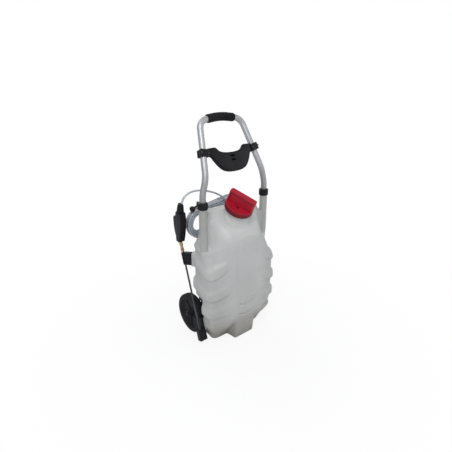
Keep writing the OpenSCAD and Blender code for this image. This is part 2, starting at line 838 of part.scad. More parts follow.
// Shell over the pump and the battery, open towards the carrier and at the battery's top.
module pump_housing() {
    w = housing_half_w;
    bay = battery_w / 2 + 3;
    color(black_plastic)
        difference() {
            union() {
                block(-w, w, plate_y + seat_gap, housing_y1 - 10, housing_z0, housing_z1);
                block(-w + 10, w - 10, plate_y + seat_gap, housing_y1, housing_z0, housing_z1);
                for (e = [-1, 1]) translate([e * (w - 10), housing_y1 - 10, housing_z0])
                    cylinder(r = 10, h = housing_z1 - housing_z0);
                mirrored_x() block(w - 1, w + 11, plate_y + seat_gap, plate_y + 4.3, housing_z0 + 20, housing_z0 + 40);
                mirrored_x() block(w - 1, w + 11, plate_y + seat_gap, plate_y + 4.3, housing_z1 - 100, housing_z1 - 80);
            }
            // Pump room below, battery bay above, with the shelf between them.
            block(-w + shell_t, w - shell_t, carrier_y, housing_y1 - 10, housing_z0 + shell_t, shelf_z - shell_t);
            block(-w + 13, w - 13, carrier_y, housing_y1 - shell_t, housing_z0 + shell_t, shelf_z - shell_t);
            block(-w + shell_t, w - shell_t, carrier_y, housing_y1 - 12, shelf_z, housing_z1 - shell_t);
            block(-w + 13, w - 13, carrier_y, housing_y1 - shell_t, shelf_z, housing_z1 - shell_t);
            block(-bay, bay, carrier_y, housing_y1 - 6, housing_z1 - 10, housing_z1 + 10);
            // Rocker switch, charging socket, and the way out of the spray hose.
            block(switch_x - 9.2, switch_x + 9.2, housing_y1 - 20, housing_y1 + 5, switch_z - 12.2, switch_z + 12.2);
            translate([socket_x, housing_y1, switch_z]) rotate([90, 0, 0]) cylinder(r = 7, h = 40, center = true);
            translate([barb_x, housing_y1, barb_z]) rotate([90, 0, 0]) cylinder(r = 7.1, h = 40, center = true);
            translate([0, suction_y, housing_z0]) cylinder(r = 5.5, h = 20, center = true);
            for (q = housing_spots) translate([q[0], plate_y, q[1]]) rotate([90, 0, 0])
                cylinder(r = 2.2, h = 30, center = true);
        }
}

pump_y = plate_y + 30;
pump_z = 158;
switch_x = -40;
switch_z = 262;
socket_x = 48;
barb_x = -62;
barb_z = pump_z + 2;
housing_spots = [for (x = [-1, 1]) for (z = [30, 106]) [x * (housing_half_w + 6), z == 30 ? housing_z0 + 30 : housing_z1 - 90]];

module housing_screws() {
    color(steel_metal)
        for (q = housing_spots)
            translate([q[0], plate_y + 4.35, q[1]]) rotate([-90, 0, 0]) pan_screw(2, 4, 4, 2.4);
}

module pump_motor() {
    color(steel_metal)
        across_x(18, pump_y, pump_z) {
            cylinder(r = 18, h = 60);
            translate([0, 0, 59]) cylinder(r = 6, h = 6);
        }
}

module pump_head() {
    color(black_plastic) {
        block(-30, 18, pump_y - 22, pump_y + 22, pump_z - 24, pump_z + 24);
        across_x(-37, pump_y, pump_z) cylinder(r = 20, h = 8);
        across_x(-46.5, pump_y, barb_z) cylinder(r = 4, h = 10);
        // Foot on the floor of the housing.
        block(-26, 14, pump_y - 16, pump_y + 20, housing_z0 + shell_t, pump_z - 23);
    }
}

// Suction hose from the tank's outlet round the axle, and pressure hose to the barb.
suction_y = plate_y + 44;

module pump_hoses() {
    color([0.3, 0.3, 0.32]) {
        bent_tube([
            [0, fitting_end, outlet_z], [0, suction_y, outlet_z], [0, suction_y, housing_z0 + shell_t]
        ], [0, 16, 0], 4.5, 2.5);
        bent_tube([
            [-46.5, pump_y, barb_z], [barb_x, pump_y, barb_z], [barb_x, housing_y1 - 9, barb_z]
        ], [0, 10, 0], 4.5, 2.5);
    }
}

// Fitting through the tank's back wall, with a flange inside and one in the carrier's hole.
fitting_end = plate_y + 14;

module tank_outlet() {
    inner = back_y(outlet_z - 14) - tank_wall - seat_gap;
    color(black_plastic)
        translate([0, 0, outlet_z]) rotate([-90, 0, 0])
            difference() {
                union() {
                    translate([0, 0, inner - 6]) cylinder(r = 8.8, h = fitting_end - inner + 6);
                    translate([0, 0, inner - 6]) cylinder(r = 13, h = 6);
                    translate([0, 0, tank_back + seat_gap]) cylinder(r = 11.5, h = carrier_t);
                }
                translate([0, 0, inner - 7]) cylinder(r = 4, h = fitting_end - inner + 4);
            }
}

battery_z = shelf_z + seat_gap;

module battery_pack() {
    y0 = plate_y + 4;
    y1 = housing_y1 - 17;
    color([0.12, 0.14, 0.16]) {
        block(-battery_w / 2, battery_w / 2, y0, y1, battery_z, battery_z + battery_h);
        block(-battery_w / 2 + 10, battery_w / 2 - 10, y0 + 8, y1 - 8, battery_z + battery_h - 1, battery_z + battery_h + 6);
    }
}

module control_board() {
    color([0.05, 0.3, 0.15])
        block(battery_w / 2 + 8, battery_w / 2 + 9.6, plate_y + 8, housing_y1 - 18, shelf_z + seat_gap, shelf_z + 70);
}

door_axis_y = plate_y + 5;
door_axis_z = housing_z1 + 5;
door_half = battery_w / 2 + 8;

// Lid over the battery. Its knuckles turn on a pin beside the carrier.
module battery_door() {
    color(black_plastic)
        difference() {
            union() {
                block(-door_half, door_half, door_axis_y, housing_y1 - 1, housing_z1 + seat_gap, housing_z1 + 4);
                across_x(-door_half, door_axis_y, door_axis_z) cylinder(r = 4.2, h = 2 * door_half);
                block(-16, 16, housing_y1 - 12, housing_y1 + 3, housing_z1 + seat_gap, housing_z1 + 6);
            }
            across_x(-door_half - 1, door_axis_y, door_axis_z) cylinder(r = 1.5 + run_gap, h = 2 * door_half + 2);
            for (e = [-1, 1]) across_x(e * (door_half - 14), door_axis_y, door_axis_z)
                cylinder(r = 6, h = 8.4, center = true);
        }
}

// Pin of the lid, carried by two lugs that stand on the housing.
module door_pin() {
    color(steel_metal) {
        across_x(-door_half, door_axis_y, door_axis_z) cylinder(r = 1.5, h = 2 * door_half);
        for (e = [-1, 1]) block(
            e * (door_half - 14) - 3.8, e * (door_half - 14) + 3.8,
            door_axis_y - 3, door_axis_y + 3, housing_z1 + 0.1, door_axis_z - 1);
    }
}

module switch_bezel() {
    color([0.09, 0.09, 0.1])
        difference() {
            union() {
                block(switch_x - 12, switch_x + 12, housing_y1 + 0.05, housing_y1 + 2, switch_z - 15, switch_z + 15);
                block(switch_x - 9, switch_x + 9, housing_y1 - 14, housing_y1 + 1, switch_z - 12, switch_z + 12);
            }
            block(switch_x - 7, switch_x + 7, housing_y1 - 12, housing_y1 + 5, switch_z - 10, switch_z + 10);
        }
}

switch_axis_y = housing_y1 - 3;

rocker_rest = 10;

// Rocker in its bezel, at rest in its off position.
module power_switch() {
    color([0.55, 0.08, 0.08])
        translate([switch_x - 6.7, switch_axis_y, switch_z]) rotate([-rocker_rest, 0, 0])
            intersection() {
                rotate([0, 90, 0]) cylinder(r = 9.2, h = 13.4);
                block(0, 13.4, -4, 7, -9, 9);
            }
}

flap_y = housing_y1 + 4.6;
flap_z = switch_z + 13;
flap_pin_r = 0.9;

// Charging socket with a flange, two ears above it and the pin of its flap between them.
module charge_socket() {
    face = housing_y1 + 0.05;
    color([0.2, 0.2, 0.21]) {
        translate([socket_x, face, switch_z]) rotate([90, 0, 0])
            difference() {
                union() {
                    translate([0, 0, -2]) cylinder(r = 10, h = 2);
                    cylinder(r = 6.9, h = 16);
                }
                translate([0, 0, -3]) cylinder(r = 4.5, h = 12);
            }
        difference() {
            block(socket_x - 7.5, socket_x + 7.5, face, face + 2, switch_z, flap_z + 2.5);
            translate([socket_x, face, switch_z]) rotate([90, 0, 0]) cylinder(r = 9, h = 12, center = true);
        }
        for (e = [-1, 1])
            block(socket_x + 6.4 * e - 1.1, socket_x + 6.4 * e + 1.1, face, flap_y + 1.8, flap_z - 2.5, flap_z + 2.5);
        across_x(socket_x - 6, flap_y, flap_z) cylinder(r = flap_pin_r, h = 12);
    }
}

// Rubber flap over the charging socket, on the pin above it.
module socket_cap() {
    flap_back = housing_y1 + 2.4;
    color(black_plastic)
        difference() {
            union() {
                translate([socket_x, flap_back, switch_z]) rotate([-90, 0, 0]) cylinder(r = 9.5, h = 2.4);
                translate([socket_x, housing_y1 - 0.5, switch_z]) rotate([-90, 0, 0]) cylinder(r = 3.4, h = 4);
                block(socket_x - 4, socket_x + 4, flap_back, flap_back + 2.4, switch_z + 5, flap_z);
                across_x(socket_x - 4.8, flap_y, flap_z) cylinder(r = 2.2, h = 9.6);
            }
            across_x(socket_x - 9, flap_y, flap_z) cylinder(r = flap_pin_r + run_gap, h = 18);
        }
}

// ---------- places of the lance and the gun ----------

lance_tip = [-lance_x, -16, 40];

module on_lance(s = 0) {
    translate(lance_tip) rotate([-lance_lean, 0, 0]) translate([0, 0, s]) children();
}

gun_base = lance_tip + lance_l * [0, sin(lance_lean), cos(lance_lean)];
function gun_point(q) = gun_base + q * [0, -sin(gun_lean), cos(gun_lean)];

module on_gun(q = 0) {
    translate(gun_base) rotate([gun_lean, 0, 0]) translate([0, 0, q]) children();
}

// End of the gun's hose nut, where the hose leaves it with a small lean.
nut_h = 34;
spigot_lean = 16;
spigot_way = [sin(spigot_lean), 0, cos(spigot_lean)];
spigot_end = gun_point(gun_l + nut_h) + 6 * spigot_way;

// Place of the clip on the tank's rear corner, and of the cup's seat on its side.
clip_s = 345;
clip_l = 56;
clip_turn = -49;
clip_reach = 36;
cup_seat = 179.7;

module clip_frame() {
    translate([-lance_x, 100, 363]) rotate([0, 0, clip_turn]) children();
}

// ---------- hose ----------

barb_l = 17;
tail_y = housing_y1 - 9 + barb_l;

hose_r = hose_d / 2;

// The hank: loops with two straight runs, piled in layers that wind in and out in turn.
hank_front = 103.5;
layer_step = 9;
hank_layers = 4;
hank_centre = [-101, 528];
hank_rise = 9;
hank_out = hank_r - hose_r;
run_rings = 4;
arc_rings = 8;
loop_rings = 2 * (run_rings + arc_rings);
half_climb = run_rings / 2 / loop_rings;
hank_loops = hank_turns * hank_layers;

// Place on a loop of end radius r, c rings after the right end of its lower run.
function loop_place(r, c) =
    c < run_rings ? [hank_run * (1 - c / run_rings), -r]
    : c < run_rings + arc_rings
        ? let (a = 270 - 180 * (c - run_rings) / arc_rings) [r * cos(a), r * sin(a)]
    : c < loop_rings - arc_rings ? [hank_run * (c - run_rings - arc_rings) / run_rings, r]
    : let (a = 90 - 180 * (c - loop_rings + arc_rings) / arc_rings) [hank_run + r * cos(a), r * sin(a)];

// Loops wound inwards from the outermost one after t turns.
function loops_in(t) =
    let (m = t % (2 * hank_turns))
    m < hank_turns ? m : 2 * hank_turns - m;
function climbs(t, n) = n >= hank_layers ? 0
    : smooth(n * hank_turns - half_climb, n * hank_turns + half_climb, t) + climbs(t, n + 1);

function hank_point(i) =
    let (
        t = i / loop_rings,
        q = loop_place(hank_out - hank_step * loops_in(t), (i + run_rings / 2) % loop_rings)
    )
    [
        hank_centre[0] + q[0] * cos(hank_rise) - q[1] * sin(hank_rise),
        hank_front + layer_step * climbs(t, 1),
        hank_centre[1] + q[0] * sin(hank_rise) + q[1] * cos(hank_rise)
    ];

hank_path = [for (i = [0:hank_loops * loop_rings]) hank_point(i)];

function tangent(p, i) =
    let (n = len(p)) unit(p[min(n - 1, i + 1)] - p[max(0, i - 1)]);

// A tube along a path, with its rings kept untwisted by one steady side direction.
module swept_tube(path, r, sides, side_dir) {
    n = len(path);
    rings = [for (i = [0:n - 1])
        let (
            t = tangent(path, i),
            a = unit(side_dir - t * (side_dir * t)),
            b = cross(t, a)
        )
        for (k = [0:sides - 1])
            path[i] + a * r * cos(360 * k / sides) + b * r * sin(360 * k / sides)];
    faces = concat(
        [for (i = [0:n - 2]) for (k = [0:sides - 1]) each [
            [i * sides + k, i * sides + (k + 1) % sides, (i + 1) * sides + k],
            [i * sides + (k + 1) % sides, (i + 1) * sides + (k + 1) % sides, (i + 1) * sides + k]
        ]],
        [for (k = [1:sides - 2]) [0, k + 1, k]],
        [for (k = [1:sides - 2]) [(n - 1) * sides, (n - 1) * sides + k, (n - 1) * sides + k + 1]]
    );
    polyhedron(rings, faces, convexity = 20);
}

// A smooth curve through hand-chosen points.
function curve_point(p, i, t) =
    let (
        n = len(p),
        a = p[max(0, i - 1)], b = p[i], c = p[min(n - 1, i + 1)], d = p[min(n - 1, i + 2)]
    )
    0.5 * (2 * b + (c - a) * t + (2 * a - 5 * b + 4 * c - d) * t * t + (3 * b - a - 3 * c + d) * t * t * t);
function smooth_path(p, steps) =
    concat([for (i = [0:len(p) - 2]) for (k = [0:steps - 1]) curve_point(p, i, k / steps)], [p[len(p) - 1]]);

module hose_hank() {
    color([0.62, 0.66, 0.70]) swept_tube(hank_path, hose_r, 6, [0, 1, 0]);
}

// Least gap of the hank to itself, measured on its own points.
near_rings = 5;
hank_gap = min([for (i = [0:len(hank_path) - 1]) for (j = [i + near_rings:1:len(hank_path) - 1])
    norm(hank_path[i] - hank_path[j])]) - hose_d;
echo(hank_gap = hank_gap, hank_loops = hank_loops);

module lay_tube(points) {
    color([0.62, 0.66, 0.70]) swept_tube(smooth_path(points, 3), hose_r, 8, [0.2, 1, 0.3]);
}

// Direction in which both ends of the hank lie.
hank_way = [-cos(hank_rise), 0, -sin(hank_rise)];
hank_start = hank_path[0];
hank_end = hank_path[len(hank_path) - 1];

// From the gun over the tank's shoulder and down into the hank.
loop_route = [
    spigot_end + 0.2 * spigot_way, spigot_end + hose_d * spigot_way,
    [-191, 100, 655], [-180, 100, 666], [-164, 100, 674], [-145, 100, 678], [-124, 100, 678],
    [-100, 100, 675], [-76, 99, 669], [-50, 98, 660], [-27, 97, 650], [-5, 96, 637], [14, 95, 623],
    [32, 94, 606], [47, 93, 586], [57, 92, 562], [61, 92, 535], [58, 92, 510], [48, 93, 492],
    [32, 96, 481], [14, 101, 477], hank_start - hose_d * hank_way, hank_start
];
// From the hank down behind the pump housing and up to its hose tail.
tail_route = [
    hank_end, hank_end + hose_d * hank_way,
    [-34, 131, 467], [-52, 132, 458], [-66, 134, 443], [-74, 137, 424], [-77, 141, 400], [-77, 147, 370],
    [-76, 155, 340], [-73, 164, 310], [-70, 173, 280], [-66, 182, 250], [-63, 190, 222], [-62, 195, 198],
    [-62, 193, 180], [-62, 185, 167], [-62, 174, 161], [-62, tail_y + hose_d, 160], [-62, tail_y, 160]
];

module hose_loop() { lay_tube(loop_route); }
module hose_tail() { lay_tube(tail_route); }

// Two hooks on the tank's back. The left one reaches over the hank and ends in a knob.
hook_r = 4.2;
hook_seat_y = 54;
hook_back = 140;
hook_left = [-92, 567.3];
hook_right = [20, 585.1];
hook_top = [hook_left[0] - 8, 108, 616];
knob_way = unit([-146, 106, 600] - hook_top);
knob_end = [-146, 106, 600] + 3 * knob_way;

module hose_hooks() {
    color(black_plastic) {
        bent_rod([
            [hook_left[0], hook_seat_y + seat_gap, hook_left[1]], [hook_left[0], hook_back, hook_left[1]],
            [hook_top[0], hook_back, hook_top[2]], hook_top, knob_end
        ], [0, 12, 12, 12, 0], hook_r);
        along(knob_end - 12 * knob_way, knob_end + 4 * knob_way) {
            cylinder(r1 = 6, r2 = 9.5, h = 4);
            translate([0, 0, 4]) cylinder(r = 9.5, h = 9);
            translate([0, 0, 13]) cylinder(r1 = 9.5, r2 = 5, h = 4);
        }
        bent_rod([
            [hook_right[0], hook_seat_y + seat_gap, hook_right[1]], [hook_right[0], hook_back, hook_right[1]],
            [hook_right[0], hook_back, hook_right[1] + 26]
        ], [0, 12, 0], hook_r);
        for (h = [hook_left, hook_right]) translate([h[0], hook_seat_y + seat_gap, h[1]])
            rotate([-90, 0, 0]) cylinder(r = 8.5, h = 4);
    }
}

// Hose tail of the pump, through the back of the housing.
module outlet_barb() {
    color(brass_metal)
        translate([barb_x, housing_y1 - 9, barb_z]) rotate([-90, 0, 0]) {
            pipe(barb_l, 7, 2);
            translate([0, 0, 9.2]) pipe(6, 9, 2, $fn = 6);
        }
}

// ---------- gun and lance ----------

nut_s = lance_l - 50;

// Side view of the gun's body: forward is to the left, its outlet is at the bottom.
gun_outline = [
    [-10, 0], [10, 0], [14, 12], [15, 40], [13, 62], [12, 104], [11, gun_l - 6], [9, gun_l],
    [-9, gun_l], [-12, gun_l - 6], [-16, 118], [-20, 104], [-22, 84], [-20, 50], [-15, 14]
];
pocket_top = 112;

module gun_half(s) {
    half = gun_w / 2;
    color(black_plastic)
        on_gun()
            difference() {
                union() {
                    for (layer = [[half - 3, 0], [half, 3]])
                        mirror([s < 0 ? 1 : 0, 0, 0]) translate([0.05, 0, 0])
                            rotate([90, 0, 90]) linear_extrude(layer[0]) offset(delta = -layer[1]) polygon(gun_outline);
                }
                translate([0, 0, -1]) cylinder(r = valve_r + 0.1, h = gun_l + 2);
                // Pocket for the lever and its lock, open at the back.
                translate([-6.2, 7, 10]) cube([12.4, 20, pocket_top - 10]);
                gun_bolts(1.6, 60);
                translate(trigger_axis) rotate([0, 90, 0])
                    cylinder(r = trigger_pin_r + 0.03, h = 60, center = true);
            }
}

valve_r = 6;
bolt_spots = [[-11, 30], [-13, 96]];

module gun_bolts(r, length) {
    for (q = bolt_spots) translate([0, q[0], q[1]]) rotate([0, 90, 0])
        cylinder(r = r, h = length, center = true);
}

module gun_body_left() { gun_half(-1); }
module gun_body_right() { gun_half(1); }

module gun_screws() {
    color(steel_metal)
        on_gun() for (q = bolt_spots) translate([-gun_w / 2 - 0.05, q[0], q[1]]) rotate([0, -90, 0])
            pan_screw(1.5, gun_w - 5, 2.8, 2);
}

module gun_valve() {
    color(brass_metal)
        on_gun(2) {
            pipe(gun_l - 4, valve_r, 2.5);
        }
}

trigger_axis = [0, 13, 22];
trigger_pin_r = 2.5;

// Lever along the back of the gun, hung at its lower end. Its root is slotted for the spring.
module gun_trigger() {
    color(black_plastic)
        on_gun()
            difference() {
                translate([-5.9, 0, 0]) rotate([90, 0, 90])
                    linear_extrude(11.8) polygon([
                        [9, 17], [17, 16], [27, 44], [40, 80], [53, 112], [49, 119], [42, 114],
                        [29, 80], [18.5, 50], [9.5, 30]
                    ]);
                translate(trigger_axis) rotate([0, 90, 0])
                    cylinder(r = trigger_pin_r + run_gap, h = 40, center = true);
                translate(trigger_axis) rotate([0, 90, 0]) cylinder(r = 5.6, h = 5, center = true);
            }
}

module trigger_pin() {
    color(steel_metal)
        on_gun() translate(trigger_axis) rotate([0, 90, 0])
            cylinder(r = trigger_pin_r, h = gun_w + 1, center = true);
}

// Coil of the return spring, round the pin inside the lever's root.
module trigger_spring() {
    color(steel_metal)
        on_gun() translate(trigger_axis + [-2.2, 0, 0]) rotate([0, 90, 0])
            pipe(4.4, 4.6, trigger_pin_r + 0.02);
}

// Slide that blocks the lever. Its thumb pad stands out of the pocket.
module trigger_lock() {
    color([0.5, 0.1, 0.1])
        on_gun() {
            translate([-6, 7.1, 98]) cube([12, 6, 6]);
            translate([-5, 12, 98]) cube([10, 5, 6]);
        }
}

module hose_nut() {
    color(black_plastic) {
        on_gun(gun_l + 0.1)
            difference() {
                union() {
                    cylinder(r = 12, h = 25);
                    cylinder(r = 8.5, h = nut_h);
                }
                for (k = [0:7]) rotate([0, 0, 45 * k]) translate([13.5, 0, 4])
                    cylinder(r = 3, h = 30, $fn = 24);
            }
        along(gun_point(gun_l + nut_h) - 4 * spigot_way, spigot_end) cylinder(r = 6, h = 10);
    }
}

module lance_nut() {
    color(brass_metal)
        on_lance(nut_s)
            difference() {
                union() {
                    cylinder(r = 6, h = 49.6);
                    translate([0, 0, 4]) cylinder(r = 8.4, h = 15, $fn = 6);
                    translate([0, 0, 30]) cylinder(r = 7.6, h = 12);
                }
                translate([0, 0, -1]) cylinder(r = lance_d / 2 + 0.02, h = 20);
            }
}

module lance_tube() {
    color(steel_metal)
        on_lance(50) pipe(nut_s - 50 + 16, lance_d / 2, lance_d / 2 - 1);
}

nozzle_r = 7;

module nozzle_body() {
    color(brass_metal)
        on_lance(0)
            difference() {
                union() {
                    translate([0, 0, 10]) cylinder(r = 5, h = 20);
                    translate([0, 0, 27]) cylinder(r = nozzle_r - 0.4, h = 24);
                    translate([0, 0, 50]) cylinder(r = 5.6, h = 8);
                }
                translate([0, 0, 49.9]) cylinder(r = lance_d / 2 + 0.02, h = 20);
                translate([0, 0, 0]) cylinder(r = 2, h = 40);
            }
}

module nozzle_cap() {
    color(black_plastic)
        on_lance(0)
            difference() {
                union() {
                    translate([0, 0, 2]) cylinder(r = nozzle_r, h = 24);
                    cylinder(r = nozzle_r - 2, h = 26);
                }
                translate([0, 0, 9.6]) cylinder(r = 5 + run_gap, h = 30);
                translate([0, 0, -1]) cylinder(r = 1, h = 20);
            }
}

// Block on the tank's rear corner, with a C that grips the lance.
module lance_clip() {
    color(black_plastic)
        difference() {
            union() {
                on_lance(clip_s) cylinder(r = 8.5, h = clip_l + 3);
                clip_frame() translate([0, -9, 0]) cube([clip_reach - seat_gap, 18, clip_l]);
            }
            on_lance(clip_s - 20) cylinder(r = lance_d / 2 + seat_gap, h = clip_l + 40);
            on_lance(clip_s - 20) rotate([0, 0, 30]) translate([-30, -2.8, 0]) cube([30, 5.6, clip_l + 40]);
            on_lance(nut_s - 1) cylinder(r = 9.5, h = 40);
        }
}

// Bracket low on the tank's side, with a cup for the nozzle.
module lance_cup() {
    x0 = -lance_x + 8;
    color(black_plastic)
        difference() {
            union() {
                on_lance(-10) translate([-11, -10, 0]) cube([35, 24, 52]);
                translate([x0, 0, 0]) rotate([90, 0, 90]) {
                    linear_extrude(16) polygon([[-20, 36], [6, 44], [9, 60], [10, 84], [-8, 84]]);
                    linear_extrude(lance_x - 8 - cup_seat - seat_gap)
                        polygon([[10, 80], [10, 128], [-2, 128], [-12, 80]]);
                }
            }
            on_lance(-seat_gap) cylinder(r = nozzle_r + 0.6, h = 200);
        }
}

tank();
fill_strainer();
cap_seal();
fill_cap();
cap_vent();
handle_tube();
handle_grip();
tube_plugs();
tube_guides();
collar_left();
collar_right();
collar_collets();
harness_hanger();
hanger_clamps();
hanger_screws();
axle();
axle_spacers();
axle_caps();
tyre_left();
rim_left();
wheel_bushes_left();
tyre_right();
rim_right();
wheel_bushes_right();
rear_carrier();
carrier_screws();
pump_housing();
housing_screws();
pump_motor();
pump_head();
pump_hoses();
tank_outlet();
battery_pack();
control_board();
battery_door();
door_pin();
power_switch();
switch_bezel();
charge_socket();
socket_cap();
hose_loop();
hose_hank();
hose_tail();
hose_hooks();
outlet_barb();
gun_body_left();
gun_body_right();
gun_screws();
gun_valve();
gun_trigger();
trigger_pin();
trigger_spring();
trigger_lock();
hose_nut();
lance_nut();
lance_tube();
nozzle_body();
nozzle_cap();
lance_clip();
lance_cup();
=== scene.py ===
# %% [markdown]
# A wheeled sprayer cart: a blow-moulded tank, a bent tube handle, a screw cap, and a spray gun
# stowed on the side with a hank of hose behind. The solids come in as a fixed frame. Each visible
# piece is then given its finish, and where the solid is plainer than the real thing, a new piece
# is modelled over it at the same place.
# %% Load the frame
import json
import math
import bpy
from mathutils import Matrix, Vector


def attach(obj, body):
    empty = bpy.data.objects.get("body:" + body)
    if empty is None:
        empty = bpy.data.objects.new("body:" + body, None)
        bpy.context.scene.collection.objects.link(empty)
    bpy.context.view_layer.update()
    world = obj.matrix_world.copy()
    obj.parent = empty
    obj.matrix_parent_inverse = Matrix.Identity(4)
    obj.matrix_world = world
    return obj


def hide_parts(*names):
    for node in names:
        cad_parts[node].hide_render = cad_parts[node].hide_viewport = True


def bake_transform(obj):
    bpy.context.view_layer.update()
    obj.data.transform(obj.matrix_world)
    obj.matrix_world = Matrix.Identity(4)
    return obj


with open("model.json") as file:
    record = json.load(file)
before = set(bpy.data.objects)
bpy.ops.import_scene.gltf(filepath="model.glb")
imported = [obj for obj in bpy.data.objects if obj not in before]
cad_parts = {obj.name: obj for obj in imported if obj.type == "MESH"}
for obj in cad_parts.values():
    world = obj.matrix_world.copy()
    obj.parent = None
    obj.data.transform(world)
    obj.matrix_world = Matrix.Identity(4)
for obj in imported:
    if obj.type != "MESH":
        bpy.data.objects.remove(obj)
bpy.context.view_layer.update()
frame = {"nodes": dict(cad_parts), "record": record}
MM = 0.001

# %% [markdown]
# The camera stands to the left of the cart at chest height and looks down at it. It is close to
# the cart, so the perspective is strong, and the lens is a wide one of 28 mm.
# %% Camera
camera_data = bpy.data.cameras.new("camera")
camera_data.sensor_width = 36.0
camera_data.lens = 28.35
camera_data.clip_end = 50.0
camera = bpy.data.objects.new("camera", camera_data)
bpy.context.collection.objects.link(camera)
camera.location = (-0.9222, -1.0905, 1.0803)
LOOK = Vector((0.58215, 0.72664, -0.36488))
camera.rotation_euler = LOOK.to_track_quat("-Z", "Y").to_euler()
bpy.context.scene.camera = camera
print("camera at", [round(v, 3) for v in camera.location])

# %% [markdown]
# Light comes from three large soft lamps: one high on the left as the main light, a weaker one on
# the right, and one behind that draws a rim on the black pieces.
# %% Lamps
scene = bpy.context.scene
scene.view_settings.view_transform = "Standard"


def lamp(name, place, aim, size, watts):
    data = bpy.data.lights.new(name, "AREA")
    data.size = size
    data.energy = watts
    obj = bpy.data.objects.new(name, data)
    bpy.context.collection.objects.link(obj)
    obj.location = place
    obj.rotation_euler = (Vector(aim) - Vector(place)).to_track_quat("-Z", "Y").to_euler()


lamp("main_light", place=(-1.45, -1.5, 2.9), aim=(0, 0, 0.5), size=1.4, watts=50)
lamp("fill_light", place=(2.4, -1.8, 1.6), aim=(0, 0, 0.5), size=2.2, watts=14)
lamp("rim_light", place=(0.4, 2.4, 2.2), aim=(0, 0, 0.6), size=2.0, watts=26)
print("lamps", len(bpy.data.lights))

# %% [markdown]
# The world, the floor and every finish are small trees of nodes. Two helpers keep them short: one
# sets numbers on a node by the names of its inputs, the other adds a node with its numbers. The
# world is a pale, even light. To the camera, and through clear plastic, it is plain white instead.
# %% World
def set_inputs(node, **values):
    for key, value in values.items():
        node.inputs[key.replace("_", " ")].default_value = value
    return node


def add_node(tree, kind, **values):
    return set_inputs(tree.nodes.new("ShaderNode" + kind), **values)


world = bpy.data.worlds.new("studio")
world.use_nodes = True
scene.world = world
tree, links = world.node_tree, world.node_tree.links
tree.nodes.clear()
out = add_node(tree, "OutputWorld")
soft = add_node(tree, "Background", Color=(0.96, 0.975, 1.0, 1), Strength=0.50)
white = add_node(tree, "Background", Color=(1, 1, 1, 1), Strength=1.0)
ray = add_node(tree, "LightPath")
either = add_node(tree, "Math")
either.operation = "MAXIMUM"
mix = add_node(tree, "MixShader")
links.new(ray.outputs["Is Camera Ray"], either.inputs[0])
links.new(ray.outputs["Is Transmission Ray"], either.inputs[1])
links.new(either.outputs[0], mix.inputs[0])
links.new(soft.outputs[0], mix.inputs[1])
links.new(white.outputs[0], mix.inputs[2])
links.new(mix.outputs[0], out.inputs["Surface"])
print("world nodes", len(tree.nodes))

# %% [markdown]
# The floor is a wide sheet of pale card, a hair below the wheels and the feet. Most of what the
# camera sees of it is a plain glow, so it runs into the white world without an edge. The small
# diffuse share carries the shadow, and it fades out with the distance from the cart.
# %% Floor
FLOOR_SIZE, FLOOR_DROP = 30, 0.0004
bpy.ops.object.select_all(action="DESELECT")
bpy.ops.mesh.primitive_grid_add(x_subdivisions=4, y_subdivisions=4, size=FLOOR_SIZE, location=(0, 0, -FLOOR_DROP))
floor = bpy.context.object
floor.name = "studio_floor"
card = bpy.data.materials.new("pale_card")
card.use_nodes = True
tree, links = card.node_tree, card.node_tree.links
tree.nodes.clear()
out = add_node(tree, "OutputMaterial")
diffuse = add_node(tree, "BsdfDiffuse", Color=(0.86, 0.86, 0.87, 1))
glow = add_node(tree, "Emission", Color=(1, 1, 1, 1), Strength=1.0)
ray = add_node(tree, "LightPath")
spot = add_node(tree, "TexCoord")
away = add_node(tree, "VectorMath")
away.operation = "LENGTH"
fade = add_node(tree, "MapRange", From_Min=0.25, From_Max=1.0, To_Min=0.86, To_Max=1.0)
share = add_node(tree, "Math")
share.operation = "MULTIPLY"
mix = add_node(tree, "MixShader")
links.new(spot.outputs["Object"], away.inputs[0])
links.new(away.outputs["Value"], fade.inputs["Value"])
links.new(fade.outputs["Result"], share.inputs[1])
links.new(ray.outputs["Is Camera Ray"], share.inputs[0])
links.new(share.outputs[0], mix.inputs[0])
links.new(diffuse.outputs[0], mix.inputs[1])
links.new(glow.outputs[0], mix.inputs[2])
links.new(mix.outputs[0], out.inputs["Surface"])
floor.data.materials.append(card)
print("floor nodes", len(tree.nodes))

# %% [markdown]
# Every finish is built the same way. A broad noise shifts the colour a little over the piece, a
# fine noise changes the roughness and raises the grain, and the numbers that are the same all over
# sit on the shader itself. Object coordinates are in metres, so a noise scale of 400 is a grain
# of about 2.5 mm.
# %% Helpers for finishes
FINISHES = {}


def colour_ramp(tree, stops):
    ramp = add_node(tree, "ValToRGB")
    elements = ramp.color_ramp.elements
    while len(elements) < len(stops):
        elements.new(0.5)
    for element, (position, colour) in zip(elements, stops):
        element.position = position
        element.color = (*colour, 1)
    return ramp


